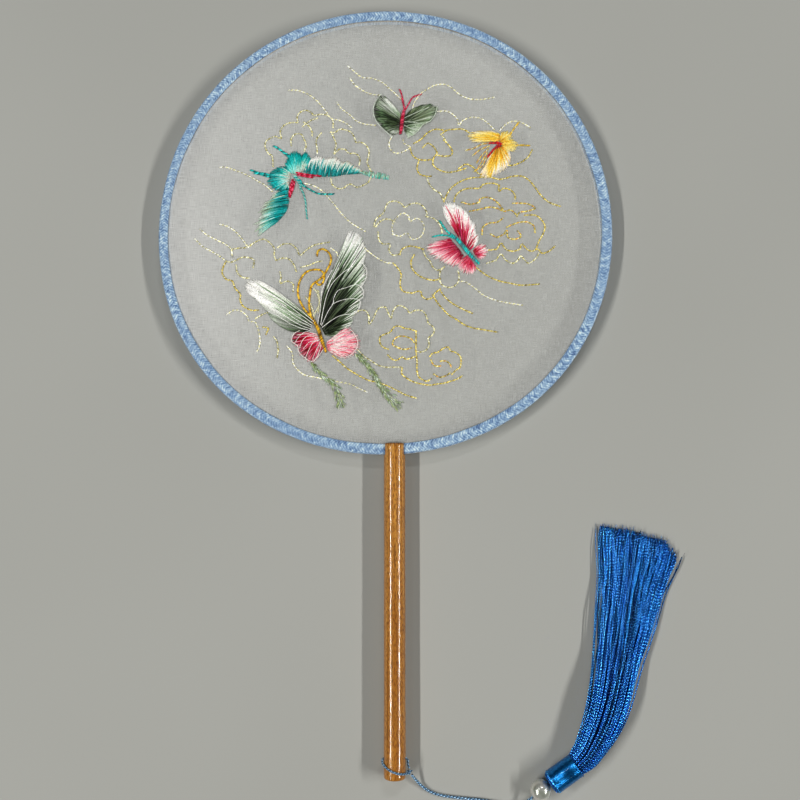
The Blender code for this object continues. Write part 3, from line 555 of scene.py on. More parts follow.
# Bead and tassel
tassel = {
    "way": heading(35),
    "axisHeight": 0.0069,  # above the surface
    "start": 0.00605,      # from the bead's middle to the head
    "headThreads": 60,
    # radius and distance down the head's dome
    "dome": [(0.0013, 0.0002), (0.0028, 0.0001), (0.0045, 0.0005), (0.0058, 0.0014), (0.0063, 0.0026),
             (0.0063, 0.0060), (0.0061, 0.0090)],
    "core": [(0.0012, 0.0006), (0.0040, 0.0008), (0.0054, 0.0016), (0.0059, 0.0035), (0.0059, 0.0168),
             (0.0020, 0.0170)],
    "bandRadius": 0.0068,
    "bandStart": 0.0084,
    "bandLength": 0.0152,
    "bandTurns": 34,
    "bandEdge": 0.00014,   # how much prouder its end turns stand
}
tasselSide = np.array([tassel["way"][1], -tassel["way"][0], 0.0])
skirt = {
    "strands": 265,
    "strays": 6,
    "strandRadius": 0.00036,
    "pitch": 0.0016,
    "step": 0.0019,
    "inBand": 0.003,       # how far the threads reach into the band
    "arch": 0.0034,        # how much they rise past it before they settle
    "wander": 0.0026,      # how far a thread may leave the heap
    # x, y, half width and half height along the threads' middle line
    "route": [
        (0.1085, -0.2060, 0.0077, 0.0060), (0.1115, -0.2021, 0.0082, 0.0058),
        (0.1186, -0.1887, 0.0102, 0.0054), (0.1239, -0.1740, 0.0113, 0.0048),
        (0.1290, -0.1541, 0.0128, 0.0041), (0.1342, -0.1323, 0.0159, 0.0034),
        (0.1380, -0.1139, 0.0184, 0.0028), (0.1416, -0.0977, 0.0224, 0.0022),
        (0.1438, -0.0850, 0.0240, 0.0018),
    ],
    "cutAt": [0, 0.25, 0.55, 0.8, 1.0],   # how many steps shorter the threads are cut, across the end
    "cutSteps": [0, 0, 0.4, 1.6, 5.0],
}


def makeBead(c):
    radius, bore = c["radius"], c["bore"]
    mouth = math.acos(bore / radius)
    outer = [(radius * math.cos(a), radius * math.sin(a)) for a in np.linspace(mouth, -mouth, 33)]
    inner = [(bore * 0.97, -radius * 0.9), (bore * 0.97, radius * 0.9)]
    mesh = lathe("pearlBead", outer + inner, 48, c["middle"], c["way"])
    return place("pearlBead", mesh, pearlMaterial(), "bead", "pearl", "pearl_bead")


def onTassel(distance):
    p = bead["middle"] + tassel["way"] * distance
    return np.array([p[0], p[1], tassel["axisHeight"]])


# Folded threads that come out at the bead, over a short dome and under the band
def makeHead(c):
    threads = Threads()
    rng = random.Random(5)
    count = c["headThreads"]
    out, down = smoothRun(c["dome"], 4).T
    width = np.clip(out * 2 * np.pi / count * 0.62, 0.0001, 0.00036)
    for k in range(count):
        a = 2 * np.pi * (k + 0.3 * rng.random()) / count + 0.35 * (down / 0.009)
        path = (onTassel(c["start"]) + c["way"] * down[:, None]
                + tasselSide * (out * np.cos(a))[:, None] + upright * (out * np.sin(a))[:, None])
        bright = 0.6 + 0.6 * rng.random()
        threads.add(path, width, colour=np.full(3, bright), sides=6, axes=turned(path), pitch=0.0015)
    head = place("tasselHead", threads.mesh("tasselHead"), tasselMaterial, "tassel", "thread", "tassel_head")
    filler = lathe("tasselCore", c["core"], 32, onTassel(c["start"]), c["way"], closed=False)
    place("tasselCore", filler, shadeCoreMaterial(), "tassel", "thread")
    return head


# Close turns of thread wound round the head, with a raised turn at each edge; the turn at the bead's end is
# painted 2.2 times brighter, a painted highlight
def makeBand(c):
    r, length, steps = c["bandRadius"], c["bandLength"], c["bandTurns"] * 4
    profile = [(r - 0.0006, 0.0), (r - 0.0002, 0.00005)]
    for k in range(steps + 1):
        h = 0.0002 + (length - 0.0004) * k / steps
        edge = c["bandEdge"] * max(0.0, 1 - min(h, length - h) / 0.0012)
        profile.append((r - 0.00012 + 0.00003 * math.cos(k * math.pi / 2) + edge, h))
    profile += [(r - 0.0002, length - 0.00005), (r - 0.0006, length)]
    mesh = lathe("tasselBand", profile, 96, onTassel(c["bandStart"]), c["way"])
    place("tasselBand", mesh, bandMaterial(c["bandTurns"]), "tassel", "band", "tassel_band")
    threads = Threads()
    a = np.linspace(0, 2 * np.pi, 73)[:, None]
    # Painted highlight: the ring at the bead's end has a brightness of 2.2
    for at, radius, bright in ((-0.0001, r - 0.0002, 2.2), (length, r - 0.0003, 1.0)):
        ring = onTassel(c["bandStart"] + at) + (tasselSide * np.cos(a) + upright * np.sin(a)) * radius
        threads.add(ring, 0.00028, colour=np.full(3, bright), sides=6, axes=turned(ring), pitch=0.0016)
    place("bandEdges", threads.mesh("bandEdges"), tasselMaterial, "tassel", "band")


# Loose plied threads: packed round at the band, spread, crossing and cut unevenly at the end
def makeSkirt(c):
    rng = np.random.default_rng(11)
    bandEnd = tassel["bandStart"] + tassel["bandLength"]
    inner, mouth = onTassel(bandEnd - c["inBand"]), onTassel(bandEnd)
    rows = [(*inner[:2], 0.0056, 0.0056), (*mouth[:2], 0.0062, 0.0060), *c["route"]]
    line = evenly(smoothRun(rows, 8), c["step"])
    n = len(line)
    across = sideOf(unit(np.gradient(line[:, :2], axis=0)))[:, :2]
    s = np.linspace(0, 1, n)
    threads, hairs = Threads(), Threads()
    radius, count = c["strandRadius"], c["strands"]
    golden = math.pi * (3 - math.sqrt(5))
    settle = np.minimum(s * 5, 1)
    axis = tassel["axisHeight"] * (1 - settle) + (line[:, 3] + 0.0001) * settle
    axis += c["arch"] * np.sin(math.pi * np.minimum(s * 1.9, 1)) ** 1.5
    room = np.maximum(line[:, 2] - radius, 0)
    for k in range(count + c["strays"]):
        stray = k >= count
        reach = math.sqrt((min(k, count - 1) + 0.5) / count)
        angle = k * golden + rng.normal(0, 0.08)
        a, b = reach * math.cos(angle), reach * math.sin(angle)
        drift = 0.0021 * rng.normal() * np.sin(s * math.pi * rng.uniform(0.7, 2.4)) * s ** 1.3
        drift += 0.00035 * np.sin(s * 22 * rng.uniform(0.5, 1.5) + rng.uniform(0, 6)) * s
        if stray:  # has come away from an edge
            a, b = (1.0, -0.5) if k % 3 == 0 else (-1.0, rng.uniform(-0.5, 0.3))
            drift = math.copysign(rng.uniform(0.0012, 0.0024), a) * np.sin(s * math.pi * 0.9) ** 1.2
        offset = a * room * (1 + 0.05 * rng.normal() * s ** 2) + drift
        offset = np.clip(offset, -room - c["wander"], room + c["wander"])
        rise = b * (line[:, 3] - radius) + 0.0005 * np.sin(s * 14 + rng.uniform(0, 6)) * s
        path = np.column_stack([line[:, :2] + across * offset[:, None], axis + rise])
        path[:, 2] = np.maximum(path[:, 2], radius + 0.00015 + 0.0002 * rng.random())
        cut = np.interp((a + 1) / 2, c["cutAt"], c["cutSteps"]) + abs(rng.normal(0, 0.9))
        path = path[:n - int(round(cut))]
        bright = float(np.clip(1.0 + 0.46 * rng.normal(), 0.25, 2.0))
        green = bright * (1.25 if a < -0.75 and rng.random() < 0.5 else 1.0)
        colour = np.array([green * (0.9 + 0.5 * rng.random()), green, bright * (0.92 + 0.1 * rng.random())])
        thin = 0.62 if stray else rng.uniform(0.82, 1.12)
        threads.add(path, radius * thin, colour=colour, sides=5, axes=turned(path),
                    begin=2.6 * a + 0.9 * rng.random(), pitch=c["pitch"] * rng.uniform(0.85, 1.15))
        # the frayed fibre at its cut end
        way = path[-1] - path[-3]
        way = way / np.linalg.norm(way) + rng.normal(0, 0.28, 3) * [1, 1, 0.5]
        hair = path[-1] + way * rng.uniform(0.0006, 0.0026) * np.linspace(-0.3, 1, 4)[:, None]
        hair[2:] += rng.normal(0, 0.0003, 3)
        hair[:, 2] = np.maximum(hair[:, 2], 0.0003)
        hairs.add(hair, 0.00007, colour=colour * 1.4, sides=3, axes=turned(hair))
    place("tasselSkirt", threads.mesh("tasselSkirt"), tasselMaterial, "tassel", "thread", "tassel_skirt")
    place("tasselFrays", hairs.mesh("tasselFrays"), tasselMaterial, "tassel", "thread")


pearlBead = makeBead(bead)
tasselHead = makeHead(tassel)
makeBand(tassel)
makeSkirt(skirt)
print("bead and tassel made")

# Hoop, silk and binding
hoop = {"inner": 0.1248, "outer": 0.1284, "bevel": 0.0004, "steps": 256}
rim = {"outer": 0.1295, "inner": 0.1236, "steps": 420, "fold": 0.0012, "thickness": 0.0005,
       "pinched": 0.0046, "pinchReach": 0.060,  # its height in the handle's cleft, and radians either side
       # how far the real ring is from round: waves in a turn, and the cosine and sine share of each
       "waves": [(1, 0.0010, -0.0086), (2, 0.0031, 0.0), (3, -0.0004, -0.0039), (4, -0.0031, 0.0004)]}
silk = {"radius": 0.1278, "rings": 29, "steps": 128, "sag": 0.00005, "inset": 0.00003}


def heights(node):
    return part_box(node)[0][2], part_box(node)[1][2]


def ringShare(angle):
    return 1 + sum(c * np.cos(k * angle) + s * np.sin(k * angle) for k, c, s in rim["waves"])


# The real ring isn't quite round: it bulges a little on both sides of the handle
def fitRing(mesh):
    for v in mesh.vertices:
        share = ringShare(math.atan2(v.co.y - face["y"], v.co.x))
        v.co.x *= share
        v.co.y = face["y"] + (v.co.y - face["y"]) * share


def makeHoop(c):
    low, high = heights("hoop_core")
    inner, outer, e = c["inner"], c["outer"], c["bevel"]
    profile = [(inner + e, low), (outer - e, low), (outer, low + e), (outer, high - e), (outer - e, high),
               (inner + e, high), (inner, high - e), (inner, low + e)]
    mesh = lathe("hoopCore", profile, c["steps"], (0, face["y"], 0), (0, 0, 1))
    fitRing(mesh)
    place("hoopCore", mesh, bambooMaterial(), "fan", "bamboo", "hoop_core")


# The tape follows the hoop with a rounded outer fold, and puckers a little where it turns in
def makeRim(c):
    low, high = heights("rim_binding")
    middle = (low + high) / 2
    f, outer, inner, thick = c["fold"], c["outer"], c["inner"], c["thickness"]
    flat = np.linspace(inner + 0.0005, outer - f, 6)
    profile = [(inner, high - 0.00012), *((r, high) for r in flat)]
    profile += [(outer - f + f * math.sin(a), high - f + f * math.cos(a)) for a in np.linspace(0.3, 1.57, 5)]
    profile += [(outer - f + f * math.cos(a), low + f - f * math.sin(a)) for a in np.linspace(0, 1.27, 5)]
    profile += [(r, low) for r in flat[::-1]]
    profile += [(inner, low + 0.00012), (inner, low + thick), (outer - thick - 0.0002, low + thick),
                (outer - thick - 0.0002, high - thick), (inner, high - thick)]
    hidden = len(profile) - 5  # the tape's inside starts here

    def wobble(angle, r, h, index):
        pucker = (0.00006 * np.sin(angle * 97 + 2 * np.sin(angle * 11)) + 0.00005 * np.sin(angle * 173 + 1.3)
                  + 0.00008 * np.sin(angle * 31 + 0.7))
        inward = np.clip((outer - r) / (outer - inner), 0, 1)
        edge = 0.00016 * np.sin(angle * 13 + 0.5) + 0.00010 * np.sin(angle * 29 + 2.0)
        dent = 0.0007 * np.exp(-((angle - math.pi) / 0.33) ** 2)
        outward = -pucker * (1 - inward) * 0.5 + edge * inward ** 3 - dent * (1 - inward)
        upward = np.sign(h - middle) * (pucker * 0.8 - 0.00012) * (0.4 + inward)
        outward, upward = np.where(index < hidden, outward, 0), np.where(index < hidden, upward, 0)
        away = np.abs(angle - 1.5 * math.pi - 0.047)
        pinch = np.clip(1.6 - away / c["pinchReach"], 0, 1) * (1 - c["pinched"] / (high - low))
        return outward, upward - (h + upward - middle) * pinch

    mesh = lathe("rimBinding", profile, c["steps"], (0, face["y"], 0), (0, 0, 1), wobble=wobble)
    fitRing(mesh)
    place("rimBinding", mesh, tapeMaterial(), "fan", "tape", "rim_binding")


# A stretched disc with a thickness of its own, very slightly uneven
def makeSilk(c):
    radius, steps = c["radius"], c["steps"]
    low, high = heights("silk_panel")
    rings = np.linspace(0, radius, c["rings"] + 1)[1:]
    top, bottom = [(0, face["y"], high)], [(0, face["y"], low)]
    for r in rings:
        for t in np.arange(steps) / steps * 2 * np.pi:
            x, y = r * math.cos(t), r * math.sin(t)
            sag = c["sag"] * (math.sin(x * 160) + math.sin(y * 140 + 1)) * (1 - (r / radius) ** 2)
            top.append((x, face["y"] + y, high - c["inset"] + sag))
            bottom.append((x, face["y"] + y, low + c["inset"] + sag))
    count = len(top)
    faces = []
    for k in range(steps):
        n = (k + 1) % steps
        faces += [(0, 1 + k, 1 + n), (count, count + 1 + n, count + 1 + k)]
        for i in range(len(rings) - 1):
            p, q = 1 + i * steps, 1 + (i + 1) * steps
            faces.append((p + k, q + k, q + n, p + n))
            faces.append((count + p + n, count + q + n, count + q + k, count + p + k))
        edge = 1 + (len(rings) - 1) * steps
        faces.append((edge + k, count + edge + k, count + edge + n, edge + n))
    mesh = bpy.data.meshes.new("faceSilk")
    mesh.from_pydata(top + bottom, [], faces)
    cleanUp(mesh)
    fitRing(mesh)
    cloth = place("faceSilk", mesh, silkMaterial(), "fan", "silk", "silk_panel")


makeHoop(hoop)
makeRim(rim)
makeSilk(silk)
print("rim and silk made")


# Handle: turned, with a cleft for the rim and a hole for the loop
def makeHandle(c):
    r, length, e, t = c["diameter"] / 2, c["length"], c["rounding"], c["topRounding"]
    profile = [(0.0, length), (r - t, length)]
    profile += [(r - t + t * math.sin(a), length - t + t * math.cos(a)) for a in np.linspace(0.4, 1.57, 4)]
    profile += [(r, h) for h in np.linspace(length - c["shoulder"], e + c["shoulder"], 14)]
    profile += [(r - e + e * math.cos(a), e - e * math.sin(a)) for a in np.linspace(0, 1.57, 7)]
    profile += [(0.0, 0.0)]

    def wobble(angle, radius, height, index):
        outward = np.where(radius > r / 2, 0.00004 * np.sin(height * 90 + 2 * angle) - 0.00003, 0)
        return outward, 0 * outward

    mesh = lathe("fanHandle", profile, 72, (c["x"], c["low"], c["z"]), (0, 1, 0), closed=False, wobble=wobble)
    top = c["low"] + length
    ob = place("fanHandle", mesh, woodMaterial(top - c["endGrain"]), "fan", "wood", "handle")
    middle = sum(heights("rim_binding")) / 2
    reach = rim["pinched"] / 2 + c["grip"]
    bottom = face["y"] - rim["outer"] * ringShare(1.5 * math.pi) - c["grip"]
    cutAway(ob, boxMesh((c["x"] - r - 0.002, bottom, middle - reach),
                        (c["x"] + r + 0.002, top + 0.002, middle + reach)))
    hole, half = c["hole"] / 2, (c["diameter"] + 0.004) / 2
    cutAway(ob, lathe("holeTool", [(0, half), (hole, half), (hole, -half), (0, -half)], 20,
                      (c["x"], c["low"] + c["holeUp"], c["z"]), (1, 0, 0), closed=False))
    ob.data.shade_smooth()
    ob.data.set_sharp_from_angle(angle=math.radians(40))


def boxMesh(low, high):
    (x0, y0, z0), (x1, y1, z1) = low, high
    points = [(x, y, z) for x in (x0, x1) for y in (y0, y1) for z in (z0, z1)]
    mesh = bpy.data.meshes.new("slotTool")
    faces = [(0, 1, 3, 2), (4, 6, 7, 5), (0, 4, 5, 1), (2, 3, 7, 6), (0, 2, 6, 4), (1, 5, 7, 3)]
    mesh.from_pydata(points, [], faces)
    return mesh


def cutAway(ob, toolMesh):
    tool = addObject("cutTool", toolMesh)
    boolean = ob.modifiers.new("cut", 'BOOLEAN')
    boolean.operation, boolean.solver, boolean.object = 'DIFFERENCE', 'EXACT', tool
    bpy.context.view_layer.update()
    result = bpy.data.meshes.new_from_object(ob.evaluated_get(bpy.context.evaluated_depsgraph_get()))
    ob.modifiers.clear()
    ob.data = result
    bpy.data.objects.remove(tool, do_unlink=True)


makeHandle(handle)
print("handle made")

# Embroidery: floss colours, then one entry for each stitched piece
dye = {name: linear(code) for name, code in {
    "white": "fffffc", "cream": "fff4e2", "mint": "cbdcc2", "sage": "90ab86", "grey": "586b4a",
    "moss": "35452b", "forest": "1b2512", "olive": "6b7a4a", "oliveLight": "b0c08a", "silver": "dbe6d8",
    "teal": "00b0ae", "tealDeep": "02767a", "tealLight": "34e2da", "aqua": "a4e6da", "bone": "e6dacb",
    "slate": "5a7482", "crimson": "c2103c", "wine": "7d0c2c", "rose": "ee6284", "blush": "fdc2cc",
    "pinkWhite": "fff5f0", "scarlet": "e03420", "yellow": "fad64c", "amber": "efb536", "lemon": "faeb9e",
    "gold": "fbcb34", "goldDark": "b8860e", "brown": "5c3c12", "orange": "f4b054", "old": "f4da58",
    "oldLight": "fff8c0", "oldDark": "b8a040", "champagne": "f4eeb4", "champagneLight": "ffffe8",
    "champagneDark": "b4aa62"}.items()}
stitch = {
    "pitch": 0.00046,        # between neighbouring satin stitches
    "bundle": 0.0011,        # width of a group that took the dye alike
    "width": 0.00026,
    "height": 0.00014,
    "lift": 0.00018,         # above the silk, before the crown
    "veinWidth": 0.00021,
    "cloudWidth": 0.00031,
    "bodyPly": 0.0002,
    "bodyHeight": 0.0011,
    "tailWidth": 0.00018,
    "tailDyes": ["olive", "oliveLight", "oliveLight", "silver", "sage"],
}
thinEnds = np.array([0.4, 1.0, 1.0, 0.4])  # a short stitch is thin at both ends


def shade(stops, s):
    at = [stop for stop, _ in stops]
    return np.column_stack([np.interp(s, at, [dye[name][k] for _, name in stops]) for k in range(3)])


def alongLine(run, t):
    where = np.linspace(0, 1, len(run))
    return np.array([np.interp(t, where, run[:, 0]), np.interp(t, where, run[:, 1])])


# Long and short stitches from a wing's root line to its outer edge
def wingThreads(threads, w, seed):
    rng = np.random.default_rng(seed)
    root, edge = smoothPixels(w["root"]), smoothPixels(w["edge"])
    edgeLength = pathLengths(edge)[-1] * face["pixel"]
    root, edge = evenly(root, 0.5), evenly(edge, 0.5)
    count = int(edgeLength / w.get("pitch", stitch["pitch"]))
    lean, feather = w.get("lean", 0.0), w.get("feather", 0.05)
    bundles = rng.normal(size=max(2, int(edgeLength / stitch["bundle"])))
    for row in range(w.get("rows", 2)):
        for k in range(count):
            t = (k + rng.uniform(0.1, 0.9)) / count
            begin = 0.0 if row == 0 and rng.random() < w.get("full", 0.45) else rng.uniform(0.0, 0.62)
            early = rng.random() < w.get("sparse", 0.3)
            end = rng.uniform(max(0.6, begin + 0.3), 1.0) if early else 1.0 + rng.normal(0, feather)
            end = min(end, 1.0 + 1.5 * feather)
            start = alongLine(root, t)
            chord = alongLine(edge, min(max(t + lean, 0), 1)) - start
            bow = np.interp(t, *w["bow"])
            tipBow = np.interp(t, *w.get("tipBow", w["bow"]))
            sideways = np.array([chord[1], -chord[0]]) * 0.67
            steps = max(3, int(np.linalg.norm(chord) * (end - begin) / 3.2) + 2)
            s = np.linspace(begin, end, steps)[:, None]
            pixels = start + chord * s + sideways * 3 * s * (1 - s) * ((1 - s) * bow + s * tipBow)
            s = s[:, 0]
            dome = (np.sin(np.pi * np.clip(t, 0.02, 0.98)) ** 0.5
                    * np.sin(np.pi * np.clip(s * 0.86 + 0.07, 0, 1)) ** 0.7)
            lift = stitch["lift"] + w["crown"] * dome + 0.00012 * row + rng.uniform(0, 0.00010)
            ends = np.minimum(np.linspace(0, 1, steps), np.linspace(1, 0, steps))
            path = onFace(pixels)
            path[:, 2] += lift * np.clip(ends * 6 + 0.35, 0, 1)
            shift = 0.27 if rng.random() < 0.4 else 0.10
            streak = np.clip(s + rng.normal(0, shift), 0, 1)
            top, low = shade(w["top"], streak), shade(w.get("low", w["top"]), streak)
            mixing = np.interp(t, *w.get("blend", ([0, 1], [0, 1])))
            colour = top * (1 - mixing) + low * mixing
            uneven = 0.75 * bundles[int(t * len(bundles)) % len(bundles)] + 0.6 * rng.normal()
            tint = float(np.clip(math.exp(w.get("vary", 0.40) * uneven), 0.5, 2.0))
            taper = np.clip(ends * 6 + 0.5, 0, 1)
            threads.add(path, stitch["width"] * taper, stitch["height"] * taper, colour ** tint)


# A line of short slanting stitches, each laid over the end of the last
def ropeStitch(threads, pixels, width, colours, seed, length, lean, height=0.0, overlap=0.6, vary=0.15):
    rng = np.random.default_rng(seed)
    path = evenly(onFace(smoothPixels(pixels), height), length * overlap)
    turn = math.radians(lean)
    for i, (p, t) in enumerate(zip(path, flatWay(path))):
        way = np.array([t[0] * math.cos(turn) - t[1] * math.sin(turn),
                        t[0] * math.sin(turn) + t[1] * math.cos(turn), 0])
        half = length * rng.uniform(0.42, 0.56)
        line = p + way * np.array([-1.0, -0.5, 0.5, 1.0])[:, None] * half
        line[:, 2] += np.array([0.00010, 0.00034, 0.00034, 0.00010]) * (width / 0.0003) ** 0.5
        colour = dye[colours[i % len(colours)]] * float(np.clip(1 + vary * rng.normal(), 0.5, 1.5))
        threads.add(line, width * thinEnds, width * 0.7 * thinEnds, colour)


# A body's or tail's middle line on the face, with its way, side and half width at each point
def bodyLine(w, height, step):
    path = evenly(onFace(smoothRun(w["line"]), height), step)
    way = unit(np.gradient(path, axis=0))
    even = np.linspace(0, 1, len(w["width"]))
    half = np.interp(np.linspace(0, 1, len(path)), even, w["width"]) * face["pixel"]
    return zip(path, way, sideOf(way), half)


# Padded satin: arched stitches across a thin body
def bodyThreads(threads, w, seed):
    rng = np.random.default_rng(seed)
    t = np.linspace(0, math.pi, 7)
    for p, way, side, half in bodyLine(w, 0.0010, 0.00032):
        arc = p + np.outer(np.cos(t), side * half) + way * half * 0.5 * np.cos(t)[:, None]
        arc[:, 2] = p[2] - 0.0008 + np.sin(t) * min(half, stitch["bodyHeight"])
        colour = dye[w["colours"][rng.integers(len(w["colours"]))]] * rng.uniform(0.8, 1.15)
        threads.add(arc, stitch["bodyPly"], colour=colour, axes=turned(arc))


# Loose short stitches that fan out along a tail
def tailThreads(threads, w, seed):
    rng = np.random.default_rng(seed)
    dyes = stitch["tailDyes"]
    for p, way, side, half in bodyLine(w, 0.0003, 0.0005):
        for _ in range(3):
            a = rng.uniform(-1, 1)
            begin = p + side * half * a * 0.8
            to = way + side * (0.5 * a + rng.normal(0, 0.15))
            line = begin + to * rng.uniform(0.0016, 0.0028) * np.array([0, 0.3, 0.7, 1.0])[:, None]
            line[:, 2] += np.array([0, 0.0003, 0.0003, 0]) + rng.uniform(0, 0.0002)
            colour = dye[dyes[rng.integers(len(dyes))]] * rng.uniform(0.8, 1.2)
            threads.add(line, thinEnds * stitch["tailWidth"], colour=colour)


